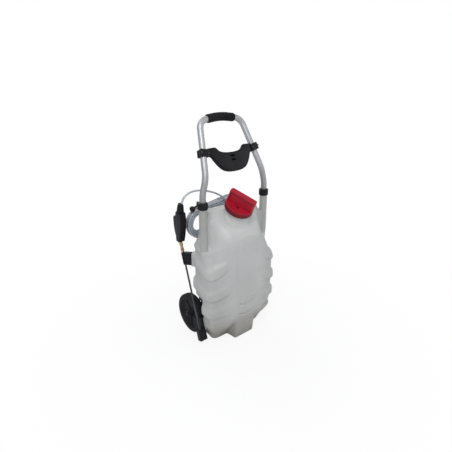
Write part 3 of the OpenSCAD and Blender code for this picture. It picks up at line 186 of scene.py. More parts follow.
def finish(name, colour, second, rough, rough_to, grain, height, metallic=0.0, stretch=(1, 1, 1),
           broad=18.0, strength=0.35, specular=0.5, coat=0.0, alpha=1.0, transmission=0.0, sheen=0.0,
           glow_through=0.0):
    mat = bpy.data.materials.new(name)
    mat.use_nodes = True
    tree, links = mat.node_tree, mat.node_tree.links
    shader = set_inputs(
        tree.nodes["Principled BSDF"], Metallic=metallic, Specular_IOR_Level=specular, Coat_Weight=coat,
        Alpha=alpha, Transmission_Weight=transmission, Sheen_Weight=sheen, Subsurface_Weight=glow_through,
        Subsurface_Scale=0.012, Subsurface_Radius=(1.0, 0.95, 0.9))
    place = add_node(tree, "TexCoord")
    turn = add_node(tree, "Mapping", Scale=stretch)
    wide = add_node(tree, "TexNoise", Scale=broad, Detail=4.0)
    ramp = colour_ramp(tree, ((0.35, colour), (0.68, second)))
    links.new(place.outputs["Object"], turn.inputs["Vector"])
    links.new(turn.outputs["Vector"], wide.inputs["Vector"])
    links.new(wide.outputs["Fac"], ramp.inputs["Fac"])
    links.new(ramp.outputs["Color"], shader.inputs["Base Color"])
    fine = add_node(tree, "TexNoise", Scale=grain, Detail=3.0)
    spread = add_node(tree, "MapRange", From_Min=0.3, From_Max=0.7, To_Min=rough, To_Max=rough_to)
    bump = add_node(tree, "Bump", Strength=strength, Distance=height)
    links.new(turn.outputs["Vector"], fine.inputs["Vector"])
    links.new(fine.outputs["Fac"], spread.inputs["Value"])
    links.new(spread.outputs["Result"], shader.inputs["Roughness"])
    links.new(fine.outputs["Fac"], bump.inputs["Height"])
    links.new(bump.outputs["Normal"], shader.inputs["Normal"])
    FINISHES[name] = mat
    return mat


print("helpers for finishes ready")

# %% [markdown]
# Black parts come in a few finishes on such a cart: satin with a fine spark-eroded grain, a duller one on
# glass-filled inner parts, open foam on the grip, and rubber on seals and tyres. They differ in grain and gloss far
# more than in colour. The cap's ribbed skirt faces down and its ribs hold shade, so it gets a darker red as painted
# shade. The small vent takes the same dark red.
# %% Plastics and rubbers
satin_black = finish("satin_black", (0.006, 0.006, 0.008), (0.012, 0.012, 0.014), 0.38, 0.50, 900, 0.00012,
                     specular=0.2)
dull_black = finish("dull_black", (0.010, 0.010, 0.012), (0.019, 0.019, 0.021), 0.50, 0.64, 700, 0.00015,
                    specular=0.2)
foam_black = finish("foam_black", (0.006, 0.006, 0.007), (0.014, 0.014, 0.015), 0.74, 0.92, 650, 0.0006,
                    strength=0.7, sheen=0.04, specular=0.15)
seal_black = finish("seal_black", (0.020, 0.020, 0.021), (0.035, 0.035, 0.036), 0.55, 0.70, 500, 0.0001)
tyre_black = finish("tyre_black", (0.007, 0.007, 0.008), (0.016, 0.016, 0.016), 0.60, 0.80, 420, 0.0003,
                    strength=0.5, specular=0.2)
cap_red = finish("cap_red", (0.35, 0.004, 0.018), (0.42, 0.008, 0.028), 0.42, 0.54, 500, 0.00008,
                 specular=0.35, coat=0.05)
painted_shade_red = finish("painted_shade_red", (0.13, 0.001, 0.006), (0.17, 0.002, 0.009), 0.42, 0.54, 500, 0.00008,
                   specular=0.3)
lever_red = finish("lever_red", (0.36, 0.02, 0.03), (0.42, 0.03, 0.04), 0.38, 0.50, 700, 0.0001)
white_nylon = finish("white_nylon", (0.70, 0.69, 0.64), (0.76, 0.75, 0.71), 0.42, 0.52, 600, 0.0001)
board_green = finish("board_green", (0.02, 0.17, 0.06), (0.03, 0.22, 0.08), 0.35, 0.5, 900, 0.0001)
print("plastics", len(FINISHES))

# %% [markdown]
# The metals are satin, not mirrors. The handle tube is drawn and anodised, so its fine lines run
# along it. The nuts are plated brass and the lance is blackened steel.
# %% Metals
drawn_alloy = finish("drawn_alloy", (0.49, 0.50, 0.51), (0.55, 0.56, 0.57), 0.54, 0.60, 90, 0.00002,
                     metallic=1.0, stretch=(1, 1, 0.3), strength=0.03)
satin_steel = finish("satin_steel", (0.42, 0.43, 0.45), (0.52, 0.53, 0.55), 0.30, 0.44, 500, 0.00005,
                     metallic=1.0)
plated_brass = finish("plated_brass", (0.55, 0.37, 0.19), (0.64, 0.45, 0.25), 0.26, 0.40, 420, 0.00006,
                      metallic=1.0)
dark_lance = finish("dark_lance", (0.050, 0.052, 0.058), (0.085, 0.088, 0.095), 0.34, 0.48, 500, 0.00005,
                    metallic=0.6)
print("finishes", len(FINISHES))

# %% [markdown]
# The tank is natural polyethylene: milky and a little see-through. Painted shade makes its colour slightly darker
# low down, where nothing bright stands behind it. The shell lets about a twelfth of the light straight through and
# scatters much of the rest. The columns are thinner and let a fifth through.
# %% Milky plastics
tank_milk = finish("tank_milk", (0.575, 0.58, 0.575), (0.635, 0.64, 0.635), 0.34, 0.46, 260, 0.00025,
                   broad=9.0, strength=0.25, alpha=0.92, glow_through=0.6)
column_milk = finish("column_milk", (0.43, 0.435, 0.42), (0.48, 0.485, 0.47), 0.32, 0.44, 260, 0.0002,
                     broad=9.0, strength=0.25, alpha=0.80)
hose_clear = finish("hose_clear", (0.43, 0.48, 0.52), (0.51, 0.56, 0.60), 0.24, 0.36, 160, 0.00003,
                    broad=40.0, coat=0.2, transmission=0.25)
print("milky finishes made")

# %% [markdown]
# Some finishes get painted shade that changes with the place on the cart. A ramp along one axis, in metres,
# multiplies the colour that is already there. As painted shade, the tank darkens and browns towards the floor and
# dims towards its sides and its front. The legs of the handle dim low down as a painted dark reflection, and the
# columns dim a little at their tops.
# %% Painted shade by place
def painted_shade_by_place(mat, axis, low, high, stops):
    tree, links = mat.node_tree, mat.node_tree.links
    shader = tree.nodes["Principled BSDF"]
    old = shader.inputs["Base Color"].links[0].from_socket
    place = add_node(tree, "TexCoord")
    split = add_node(tree, "SeparateXYZ")
    along = add_node(tree, "MapRange", From_Min=low, From_Max=high)
    ramp = colour_ramp(tree, stops)
    ramp.color_ramp.interpolation = "EASE"
    mix = add_node(tree, "Mix")
    mix.data_type = "RGBA"
    mix.blend_type = "MULTIPLY"
    mix.inputs["Factor"].default_value = 1.0
    links.new(place.outputs["Object"], split.inputs[0])
    links.new(split.outputs[axis], along.inputs["Value"])
    links.new(along.outputs["Result"], ramp.inputs["Fac"])
    links.new(old, mix.inputs["A"])
    links.new(ramp.outputs["Color"], mix.inputs["B"])
    links.new(mix.outputs["Result"], shader.inputs["Base Color"])


painted_shade_by_place(tank_milk, "Z", 0.0, 0.62, [
    (0.0, (0.50, 0.475, 0.43)), (0.12, (0.68, 0.655, 0.61)), (0.25, (0.94, 0.94, 0.93)),
    (0.72, (0.97, 0.97, 0.97)), (0.86, (1, 1, 1))])
painted_shade_by_place(tank_milk, "X", -0.19, 0.19, [
    (0.0, (0.86, 0.86, 0.86)), (0.33, (1, 1, 1)), (0.67, (1, 1, 1)), (1.0, (0.84, 0.84, 0.84))])
painted_shade_by_place(tank_milk, "Y", -0.11, 0.10, [
    (0.0, (0.90, 0.90, 0.90)), (0.16, (0.92, 0.92, 0.92)), (0.30, (1, 1, 1)), (0.9, (0.95, 0.95, 0.95))])
painted_shade_by_place(drawn_alloy, "Z", 0.62, 0.86, [
    (0.0, (0.66, 0.66, 0.65)), (0.35, (0.86, 0.86, 0.86)), (1.0, (1, 1, 1))])
painted_shade_by_place(column_milk, "Z", 0.45, 0.56, [
    (0.0, (1, 1, 1)), (0.4, (1, 1, 1)), (1.0, (0.92, 0.92, 0.91))])
print("nodes in the tank's finish", len(tank_milk.node_tree.nodes))

# %% [markdown]
# Each solid gets the finish of its real part. The table lists the solids under each finish.
# %% Finishes for the solids
PARTS_IN = [
    (tank_milk, "tank"),
    (dull_black, "fill_strainer tube_plugs collar_collets rim_left rim_right rear_carrier pump_head "
                 "tank_outlet battery_pack switch_bezel charge_socket"),
    (seal_black, "cap_seal pump_hoses socket_cap"),
    (cap_red, "fill_cap"),
    (painted_shade_red, "cap_vent"),
    (drawn_alloy, "handle_tube"),
    (foam_black, "handle_grip"),
    (white_nylon, "tube_guides axle_spacers wheel_bushes_left wheel_bushes_right"),
    (satin_black, "collar_left collar_right harness_hanger hanger_clamps axle_caps pump_housing "
                  "battery_door hose_hooks gun_body_left gun_body_right gun_trigger hose_nut "
                  "nozzle_cap lance_clip lance_cup"),
    (dark_lance, "hanger_screws gun_screws lance_tube nozzle_body"),
    (satin_steel, "axle carrier_screws housing_screws pump_motor door_pin trigger_pin trigger_spring"),
    (tyre_black, "tyre_left tyre_right"),
    (board_green, "control_board"),
    (lever_red, "power_switch trigger_lock"),
    (hose_clear, "hose_loop hose_hank hose_tail"),
    (plated_brass, "outlet_barb gun_valve lance_nut"),
]
FINISH_OF = {node_name: look for look, names in PARTS_IN for node_name in names.split()}
for node_name, obj in frame["nodes"].items():
    obj.data.materials.clear()
    obj.data.materials.append(FINISH_OF[node_name])
print("solids finished", len(FINISH_OF))

# %% [markdown]
# The hose is one length of clear pipe, made here in three stretches because the first one bends
# when the gun is lifted. The hank is a spiral with two straight runs: three loops in each of four
# layers, wound in and out in turn, with a short climb from each layer to the next. Sizes are in
# millimetres, and a loop is drawn with 48 points: 8 on each straight run and 16 on each half turn.
# %% Hank of hose
HOSE_R = 4.0
HANK_FRONT = 103.5
HANK_CENTRE = (-101.0, 528.0)
HANK_RISE = math.radians(9)
HANK_OUT = 68.0
HANK_STEP = 8.8
HANK_RUN = 164.0
HANK_TURNS, HANK_LAYERS, LAYER_STEP = 3, 4, 9.0
RUN_RINGS, ARC_RINGS = 8, 16
LOOP_RINGS = 2 * (RUN_RINGS + ARC_RINGS)
CLIMB_RINGS = 4


def smooth(a, b, t):
    s = min(1.0, max(0.0, (t - a) / (b - a)))
    return s * s * (3 - 2 * s)


def loop_place(radius, step):
    if step < RUN_RINGS:
        return HANK_RUN * (1 - step / RUN_RINGS), -radius
    if step < RUN_RINGS + ARC_RINGS:
        a = math.radians(270 - 180 * (step - RUN_RINGS) / ARC_RINGS)
        return radius * math.cos(a), radius * math.sin(a)
    if step < LOOP_RINGS - ARC_RINGS:
        return HANK_RUN * (step - RUN_RINGS - ARC_RINGS) / RUN_RINGS, radius
    a = math.radians(90 - 180 * (step - LOOP_RINGS + ARC_RINGS) / ARC_RINGS)
    return HANK_RUN + radius * math.cos(a), radius * math.sin(a)


def hank_point(i):
    loops = i / LOOP_RINGS
    in_pair = loops % (2 * HANK_TURNS)
    inward = in_pair if in_pair < HANK_TURNS else 2 * HANK_TURNS - in_pair
    u, v = loop_place(HANK_OUT - HANK_STEP * inward, (i + RUN_RINGS // 2) % LOOP_RINGS)
    half_climb = CLIMB_RINGS / LOOP_RINGS
    climb = sum(smooth(n * HANK_TURNS - half_climb, n * HANK_TURNS + half_climb, loops)
                for n in range(1, HANK_LAYERS))
    return (HANK_CENTRE[0] + u * math.cos(HANK_RISE) - v * math.sin(HANK_RISE),
            HANK_FRONT + LAYER_STEP * climb,
            HANK_CENTRE[1] + u * math.sin(HANK_RISE) + v * math.cos(HANK_RISE))


hank_path = [hank_point(i) for i in range(HANK_TURNS * HANK_LAYERS * LOOP_RINGS + 1)]
print("hank points", len(hank_path))

# %% [markdown]
# The other two stretches follow listed points: from the gun over the tank's shoulder down into the hank, and from
# the hank down behind the pump housing to its brass tail. A smooth curve is run through the points. The lance leans
# back, and the gun on top of it a little forward.
# %% Routes of the hose
LANCE_X, LANCE_Y, LANCE_Z = -200, -16, 40
LANCE_LEAN, LANCE_REACH = math.radians(18.2), 446
GUN_LEAN, SPIGOT_LEAN = math.radians(8), math.radians(16)
GUN_BASE = Vector((LANCE_X, LANCE_Y + LANCE_REACH * math.sin(LANCE_LEAN),
                   LANCE_Z + LANCE_REACH * math.cos(LANCE_LEAN)))
GUN_WAY = Vector((0, -math.sin(GUN_LEAN), math.cos(GUN_LEAN)))
SPIGOT_WAY = Vector((math.sin(SPIGOT_LEAN), 0, math.cos(SPIGOT_LEAN)))
SPIGOT_END = GUN_BASE + 168 * GUN_WAY + 6 * SPIGOT_WAY
HANK_WAY = Vector((-math.cos(HANK_RISE), 0, -math.sin(HANK_RISE)))
loop_route = [
    SPIGOT_END, SPIGOT_END + 8 * SPIGOT_WAY,
    (-191, 100, 655), (-180, 100, 666), (-164, 100, 674), (-145, 100, 678), (-124, 100, 678),
    (-100, 100, 675), (-76, 99, 669), (-50, 98, 660), (-27, 97, 650), (-5, 96, 637), (14, 95, 623),
    (32, 94, 606), (47, 93, 586), (57, 92, 562), (61, 92, 535), (58, 92, 510), (48, 93, 492),
    (32, 96, 481), (14, 101, 477), Vector(hank_path[0]) - 8 * HANK_WAY, hank_path[0],
]
tail_route = [
    hank_path[-1], Vector(hank_path[-1]) + 8 * HANK_WAY,
    (-34, 131, 467), (-52, 132, 458), (-66, 134, 443), (-74, 137, 424), (-77, 141, 400), (-77, 147, 370),
    (-76, 155, 340), (-73, 164, 310), (-70, 173, 280), (-66, 182, 250), (-63, 190, 222), (-62, 195, 198),
    (-62, 193, 180), (-62, 185, 167), (-62, 174, 161), (-62, 169.3, 160), (-62, 161.3, 160),
]


def smooth_path(points, steps):
    p = [Vector(q) for q in points]
    line = []
    for i in range(len(p) - 1):
        a, b, c, d = p[max(0, i - 1)], p[i], p[i + 1], p[min(len(p) - 1, i + 2)]
        for k in range(steps):
            t = k / steps
            line.append(0.5 * (2 * b + (c - a) * t + (2 * a - 5 * b + 4 * c - d) * t * t
                               + (3 * b - a - 3 * c + d) * t ** 3))
    line.append(p[-1])
    return line


def length_of(points):
    return sum((Vector(b) - Vector(a)).length for a, b in zip(points, points[1:]))


print("points by hand", len(loop_route) + len(tail_route))

# %% [markdown]
# A curve with a round bevel is the quickest true pipe in Blender. The loop is turned into a mesh at once.
# %% Hose stretches
def pipe_curve(name, points, radius, resolution=5):
    data = bpy.data.curves.new(name, "CURVE")
    data.dimensions = "3D"
    data.bevel_depth = radius * MM
    data.bevel_resolution = resolution
    data.use_fill_caps = True
    line = data.splines.new("POLY")
    line.points.add(len(points) - 1)
    for spot, p in zip(line.points, points):
        spot.co = (p[0] * MM, p[1] * MM, p[2] * MM, 1)
    line.use_smooth = True
    obj = bpy.data.objects.new(name, data)
    bpy.context.collection.objects.link(obj)
    data.materials.append(hose_clear)
    return obj


loop_line = smooth_path(loop_route, 5)
hose_loop = pipe_curve("spray_hose_loop", loop_line, HOSE_R)
bpy.ops.object.select_all(action="DESELECT")
hose_loop.select_set(True)
bpy.context.view_layer.objects.active = hose_loop
bpy.ops.object.convert(target="MESH")
hose_loop = bpy.context.object
bpy.ops.object.shade_smooth_by_angle(angle=math.radians(60))
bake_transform(hose_loop)
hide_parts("hose_loop")

hank = pipe_curve("spray_hose_hank", hank_path, HOSE_R, 3)
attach(hank, "tank_unit")
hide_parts("hose_hank")

tail_line = smooth_path(tail_route, 5)
hose_tail = pipe_curve("spray_hose_tail", tail_line, HOSE_R)
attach(hose_tail, "tank_unit")
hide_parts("hose_tail")
print("hose lengths in mm", round(length_of(loop_line)), round(length_of(hank_path)), round(length_of(tail_line)))

# %% [markdown]
# Every other new piece is modelled in millimetres, like the solids, and brought to metres when it
# is done. The first helpers hold what is done to any piece: start clean, work on it in edit mode,
# apply a modifier, turn its faces outwards, round its edges, and make a curve into a mesh.
# %% Helpers for one piece
def select_only(obj):
    bpy.ops.object.select_all(action="DESELECT")
    obj.select_set(True)
    bpy.context.view_layer.objects.active = obj


def apply_modifier(obj, kind, **values):
    modifier = obj.modifiers.new(kind.lower(), kind)
    for key, value in values.items():
        setattr(modifier, key, value)
    select_only(obj)
    bpy.ops.object.modifier_apply(modifier=modifier.name)


def in_edit_mode(obj, work):
    select_only(obj)
    bpy.ops.object.mode_set(mode="EDIT")
    bpy.ops.mesh.select_all(action="SELECT")
    work()
    bpy.ops.object.mode_set(mode="OBJECT")


def face_outwards(obj):
    in_edit_mode(obj, lambda: bpy.ops.mesh.normals_make_consistent(inside=False))


def rounded(obj, width, segments=3, degrees=35):
    apply_modifier(obj, "BEVEL", width=width, segments=segments, limit_method="ANGLE",
                   angle_limit=math.radians(degrees), use_clamp_overlap=True)


def mesh_of(curve):
    select_only(curve)
    bpy.ops.object.convert(target="MESH")
    obj = bpy.context.object
    obj.data.transform(Matrix.Scale(1 / MM, 4))
    return obj


print("helpers for one piece ready")

# %% [markdown]
# A new shape starts as an outline or as a primitive. An outline is spun round the vertical axis,
# or thickened to a plate. Each shape is made about the origin and then moved to its place, so its
# sizes read like those on a drawing.
# %% Helpers for new shapes
def outline_object(name, points, closed=True):
    data = bpy.data.meshes.new(name)
    count = len(points)
    edges = [(i, i + 1) for i in range(count - 1)]
    data.from_pydata([tuple(p) for p in points], [] if closed else edges, [range(count)] if closed else [])
    obj = bpy.data.objects.new(name, data)
    bpy.context.collection.objects.link(obj)
    return obj


def turned(name, profile, place, steps):
    obj = outline_object(name, [(r, 0, z) for r, z in profile], closed=False)

    def work():
        bpy.ops.mesh.spin(steps=steps, angle=math.tau, center=(0, 0, 0), axis=(0, 0, 1))
        bpy.ops.mesh.remove_doubles(threshold=0.01)
        bpy.ops.mesh.normals_make_consistent(inside=False)

    in_edit_mode(obj, work)
    obj.data.transform(place)
    return obj


def thickened(name, points, depth, place, edge=0.0, segments=3):
    obj = outline_object(name, [(a, b, 0) for a, b in points])

    def work():
        bpy.ops.mesh.extrude_region_move(TRANSFORM_OT_translate={"value": (0, 0, depth)})
        bpy.ops.mesh.select_all(action="SELECT")
        bpy.ops.mesh.normals_make_consistent(inside=False)

    in_edit_mode(obj, work)
    if edge:
        rounded(obj, edge, segments)
    obj.data.transform(place)
    return obj


def drum(name, radius, depth, centre=(0, 0, 0), place=Matrix(), sides=48, top_radius=None):
    bpy.ops.object.select_all(action="DESELECT")
    bpy.ops.mesh.primitive_cone_add(vertices=sides, radius1=radius, depth=depth, location=centre,
                                    radius2=radius if top_radius is None else top_radius)
    obj = bpy.context.object
    obj.name = name
    bpy.ops.object.transform_apply(location=True, rotation=True, scale=True)
    obj.data.transform(place)
    return obj


def brick(name, low, high, place=Matrix()):
    bpy.ops.object.select_all(action="DESELECT")
    bpy.ops.mesh.primitive_cube_add(size=1, location=[(a + b) / 2 for a, b in zip(low, high)])
    obj = bpy.context.object
    obj.name = name
    obj.scale = [b - a for a, b in zip(low, high)]
    bpy.ops.object.transform_apply(location=True, rotation=True, scale=True)
    obj.data.transform(place)
    return obj


print("helpers for new shapes ready")

# %% [markdown]
# Shapes are joined, or cut with one another, and what repeats round a piece takes its turns from
# one list. A finished piece is brought to metres, gets its finish, and is handed to the body it
# moves with and to the solids it stands for.
# %% Helpers for putting together
SIDES = ((-1, "left"), (1, "right"))


def turns(count):
    return [Matrix.Rotation(math.radians(360 / count * k), 4, "Z") for k in range(count)]


def combine(obj, other, how):
    apply_modifier(obj, "BOOLEAN", object=other, operation=how, solver="EXACT")
    bpy.data.objects.remove(other)


def join(obj, others):
    select_only(obj)
    for other in others:
        other.select_set(True)
    bpy.ops.object.join()
    return bpy.context.object


def hand_over(obj, name, look, body, nodes, degrees=40):
    obj.name = name
    obj.data.transform(Matrix.Scale(MM, 4))
    obj.data.materials.clear()
    obj.data.materials.append(look)
    select_only(obj)
    bpy.ops.object.shade_smooth_by_angle(angle=math.radians(degrees))
    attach(obj, body)
    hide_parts(*nodes)
    print(name, "faces", len(obj.data.polygons))


print("helpers for putting together ready")

# %% [markdown]
# The tank is blown from one soft tube of plastic, so it has no sharp edge anywhere. Its body is
# described by its widths and depths at a few heights, as a pattern maker would give them. Each
# pair is a height and how far the wall lies from its place at mid height. A band is given by its
# lower edge, its height and its share of the full rib.
# %% Widths and depths of the tank
TANK_HALF_W, TANK_TOP, TANK_FRONT, TANK_BACK, RIB_OUT = 182.0, 606.0, 88.0, 80.0, 11.0
PANEL_HALF_W, CORNER_ARC, BACK_ARC, WELL_X = 60.0, 24.0, 52.0, 134.5
WELL_TOP, WELL_FRONT, WELL_RISE, WELL_EASE = 196.0, -6.0, 34.0, 24.0
FLANK_FRONT, FLANK_BLEND, FLANK_CURVE, FLANK_MIN = -22.0, 115.0, 1.7, 20.0
FRONT_FADE, SIDE_FADE = 92.0, 110.0
BODY_W = [(0, -46), (20, -39), (100, -10), (145, -2), (200, 0), (338, 0), (396, -6), (447, -10), (480, -16),
          (520, -24), (570, -30), (592, -38), (606, -58)]
FRONT_MID = [(0, 14), (40, 9), (131, 0), (465, 1), (490, 6), (505, 14), (520, 26), (540, 44), (560, 61),
             (580, 77), (592, 86), (606, 97)]
FRONT_CORNER = [(0, -20), (60, -45), (100, -60), (145, -66), (338, -66), (396, -43), (411, -34), (447, -14),
                (471, -3), (560, 4), (592, 12), (606, 18)]
BACK_Y = [(0, -14), (60, -4), (100, 0), (440, 0), (475, -8), (500, -28), (560, -30), (592, -36), (606, -52)]
BANDS = [(62, 50, 0.85), (145, 56, 1.0), (232, 56, 1.0), (333, 56, 1.0), (428, 30, 0.5)]
RISE_FRONT = [(0, 0), (60, 0), (145, 6), (232, 22), (333, 34), (428, 34), (560, 0)]
RISE_SIDE = [(0, 0), (60, 0), (145, 6), (232, 20), (333, 36), (428, 22), (500, 0)]


def lookup(z, table):
    if z <= table[0][0]:
        return table[0][1]
    for (z0, v0), (z1, v1) in zip(table, table[1:]):
        if z <= z1:
            return v0 + (v1 - v0) * (z - z0) / (z1 - z0)
    return table[-1][1]


print("bands", len(BANDS))

# %% [markdown]
# A ring of points is placed at each height. Half a ring runs from the middle of the front over the
# panel, the flank, the round front corner, the side and the round back corner to the middle of the
# back. Each point also holds its outward way, its distance from the corner's crest, and whether it
# belongs to the front, because the chevron bands rise away from the crest to both sides.
# %% Rings of the tank
PANEL_STEPS, FLANK_STEPS, ARC_STEPS, SIDE_STEPS, BACK_STEPS, TAIL_STEPS = 9, 17, 8, 16, 14, 8
RIB_END_FRONT, RIB_END_SIDE, RIB_OVER_WELL = (48, 90), (120, 160), (176, 226)


def ring_half(z):
    w = TANK_HALF_W + lookup(z, BODY_W)
    corner_y = lookup(z, FRONT_CORNER)
    arc_y = corner_y + CORNER_ARC
    middle_y = -TANK_FRONT + lookup(z, FRONT_MID)
    side_y = FLANK_FRONT + (middle_y - FLANK_FRONT) * smooth(0, FLANK_BLEND, z)
    well = max(0.0, w - WELL_X) * (1 - smooth(WELL_TOP, WELL_TOP + WELL_RISE, z))
    back = max(TANK_BACK + lookup(z, BACK_Y), corner_y + CORNER_ARC + FLANK_MIN)
    arc = min(BACK_ARC, (back - corner_y - CORNER_ARC) / 2)
    half_arc = CORNER_ARC * math.pi / 4
    flank = w - CORNER_ARC - PANEL_HALF_W - 1
    ring = [(PANEL_HALF_W * i / PANEL_STEPS, middle_y, 0, -1, flank + PANEL_HALF_W, True)
            for i in range(PANEL_STEPS)]
    for i in range(FLANK_STEPS):
        t = i / FLANK_STEPS
        x = PANEL_HALF_W + 1 + flank * t
        y = side_y + (corner_y - side_y) * t ** FLANK_CURVE
        ring.append((x, y, 0, -1, w - CORNER_ARC - x + half_arc, True))
    for i in range(ARC_STEPS + 1):
        a = math.radians(-90 + 90 * i / ARC_STEPS)
        ring.append((w - CORNER_ARC + CORNER_ARC * math.cos(a), arc_y + CORNER_ARC * math.sin(a),
                     math.cos(a), math.sin(a), CORNER_ARC * abs(a + math.pi / 4), a < -math.pi / 4))
    for i in range(1, SIDE_STEPS + 1):
        y = arc_y + (back - arc - corner_y - CORNER_ARC) * i / SIDE_STEPS
        ring.append((w - well * smooth(WELL_FRONT, WELL_FRONT + WELL_EASE, y), y, 1, 0,
                     y - corner_y - CORNER_ARC + half_arc, False))
    arc_x = w - well - arc
    for i in range(1, BACK_STEPS + 1):
        a = math.radians(90 * i / BACK_STEPS)
        ring.append((arc_x + arc * math.cos(a), back - arc + arc * math.sin(a), math.cos(a), math.sin(a),
                     back - corner_y - CORNER_ARC - arc + half_arc + arc * a, False))
    for i in range(1, TAIL_STEPS + 1):
        ring.append((arc_x * (1 - i / TAIL_STEPS), back, 0, 1, 2 * SIDE_FADE, False))
    return ring


def body_ring(z0, rib):
    points = []
    for i, low_point in enumerate(ring_half(z0)):
        distance, in_front = low_point[4:]
        if in_front:
            lift = lookup(z0, RISE_FRONT) * smooth(0, FRONT_FADE, distance)
            fade = 1 - smooth(*RIB_END_FRONT, distance)
        else:
            lift = lookup(z0, RISE_SIDE) * smooth(0, SIDE_FADE, distance)
            fade = 1 - smooth(*RIB_END_SIDE, distance)
        x, y, nx, ny = ring_half(z0 + lift)[i][:4]
        well = smooth(*RIB_OVER_WELL, z0) if y > WELL_FRONT and nx > 0 else 1.0
        out = rib * RIB_OUT * fade * well
        points.append((x + nx * out, y + ny * out, z0 + lift))
    return points + [(-x, y, z) for x, y, z in reversed(points[1:-1])]


print("points in a ring", len(body_ring(TANK_TOP, 0)))

# %% [markdown]
# The bands give the heights where the rib starts, is full, and ends. Between two such heights the
# rings lie no more than 6 mm apart.
# %% Heights of the rings
RING_GAP, BAND_LIP, BAND_CREST, BAND_BROW, BROW_SHARE = 6, 12, 0.5, 0.78, 0.9
rows = [(0, 0), (18, 0), (40, 0)]
for low_z, band_h, share in BANDS:
    rows += [(low_z, 0), (low_z + BAND_LIP, share), (low_z + band_h * BAND_CREST, share),
             (low_z + band_h * BAND_BROW, share * BROW_SHARE), (low_z + band_h, 0)]
rows += [(z, 0) for z in (480, 505, 532, 560, 580, 592, TANK_TOP)]
levels = [rows[0]]
for (z0, s0), (z1, s1) in zip(rows, rows[1:]):
    parts = max(1, math.ceil((z1 - z0) / RING_GAP))
    levels += [(z0 + (z1 - z0) * k / parts, s0 + (s1 - s0) * k / parts) for k in range(1, parts + 1)]
rings = [body_ring(z, share) for z, share in levels]
print("rings", len(rings))

# %% [markdown]
# The rings become a skin by extruding one circle upwards, once for each height, and then moving
# every point of the straight pipe to its place. Neck, flare, columns and pads are added as plain
# drums and bricks. A voxel remesh melts them into one skin, and a few rounds of smoothing give
# each edge the soft radius of a blown part.
# %% Skin of the tank
count = len(rings[0])
bpy.ops.object.select_all(action="DESELECT")
bpy.ops.mesh.primitive_circle_add(vertices=count, radius=1.0, fill_type="NGON")
tank = bpy.context.object


def pull_up():
    for _ in range(len(rings) - 1):
        bpy.ops.mesh.extrude_region_move(TRANSFORM_OT_translate={"value": (0, 0, 1)})
    bpy.ops.mesh.select_all(action="SELECT")
    bpy.ops.mesh.normals_make_consistent(inside=False)


in_edit_mode(tank, pull_up)
for vertex in tank.data.vertices:
    turn = math.atan2(vertex.co.y, vertex.co.x)
    k = round(turn / math.tau * count) % count
    vertex.co = rings[round(vertex.co.z)][k]
face_outwards(tank)
print("rings in the skin", len(rings))

# %% [markdown]
# The neck leans forward, and its flare is cut off behind, where the back wall stands. A column
# rises at each side with a foot that narrows into the shoulder. The clip and the cup of the lance
# and the two hooks of the hose each sit on a pad.
# %% Neck, columns and pads
ON_NECK = Matrix.Translation((0, -5, 574.6)) @ Matrix.Rotation(math.radians(28), 4, "X")
ON_CLIP = Matrix.Translation((-200, 100, 363)) @ Matrix.Rotation(math.radians(-49), 4, "Z")
COLUMN_X, COLUMN_R = 165, 17
HOOK_SEATS = ((-92, 567.3), (20, 585.1))
VOXEL, SMOOTHINGS = 3.0, 9


def cut_behind():
    bpy.ops.mesh.bisect(plane_co=(0, 36, 0), plane_no=(0, 1, 0), use_fill=True, clear_outer=True)


flare = drum("flare", 76, 48, (0, 0, -12), ON_NECK, sides=64, top_radius=53)
in_edit_mode(flare, cut_behind)
extra = [flare, drum("neck", 50, 92, place=ON_NECK, sides=64),
         brick("clip_pad", (36, -14, -4), (66, 14, 60), ON_CLIP),
         brick("cup_pad", (-179.7, -22, 84), (-149.7, 4, 128))]
for side, word in SIDES:
    extra.append(drum("column_foot", 14, 60, (side * COLUMN_X, 0, 454), sides=40, top_radius=COLUMN_R))
    extra.append(drum("column", COLUMN_R, 157, (side * COLUMN_X, 0, 562.5), sides=40))
for hook_x, hook_z in HOOK_SEATS:
    on_wall = Matrix.Translation((hook_x, 44, hook_z)) @ Matrix.Rotation(math.radians(-90), 4, "X")
    extra.append(drum("hook_pad", 10, 20, place=on_wall, sides=32))
tank = join(tank, extra)
apply_modifier(tank, "REMESH", mode="VOXEL", voxel_size=VOXEL, adaptivity=0.0)
apply_modifier(tank, "SMOOTH", factor=0.5, iterations=SMOOTHINGS)
print("tank skin", len(tank.data.polygons))

# %% [markdown]
# The front carries a sunk field with an arched top, and two curved grooves below it that stiffen
# the wall. Both are shallow, so the points of the front wall are simply pushed in where the field
# and the grooves lie.
# %% Field and grooves in the front
FIELD_HALF_W, FIELD_LOW, FIELD_SHOULDER, FIELD_DEPTH = 56.0, 215.0, 462.0, 2.2
FIELD_ARCH, FIELD_EASE = 0.62, 1.6
WALL_Y, WALL_HALF_W, WALL_LOW, WALL_TOP = -62, 64, 100, 520
GROOVES, GROOVE_SAG, GROOVE_HALF_W, GROOVE_DEPTH = (190.0, 140.0), 16.0, 6.5, 4.2
GROOVE_REACH, GROOVE_FULL, GROOVE_END = 46, 42, 48
for vertex in tank.data.vertices:
    x, y, z = vertex.co
    if y < WALL_Y and abs(x) < WALL_HALF_W and WALL_LOW < z < WALL_TOP:
        arch = FIELD_SHOULDER + FIELD_ARCH * math.sqrt(max(0.0, FIELD_HALF_W ** 2 - x * x))
        inside = min(FIELD_HALF_W - abs(x), z - FIELD_LOW, arch - z)
        push = FIELD_DEPTH * smooth(-FIELD_EASE, FIELD_EASE, inside)
        along = 1 - smooth(GROOVE_FULL, GROOVE_END, abs(x))
        for groove_z in GROOVES:
            middle = groove_z - GROOVE_SAG * (1 - (x / GROOVE_REACH) ** 2)
            push += GROOVE_DEPTH * along * (1 - smooth(0, GROOVE_HALF_W, abs(z - middle)))
        vertex.co.y = y + push
    vertex.co.z = max(0.0, z)
print("front pressed in, back wall at", round(max(vertex.co.y for vertex in tank.data.vertices), 1))

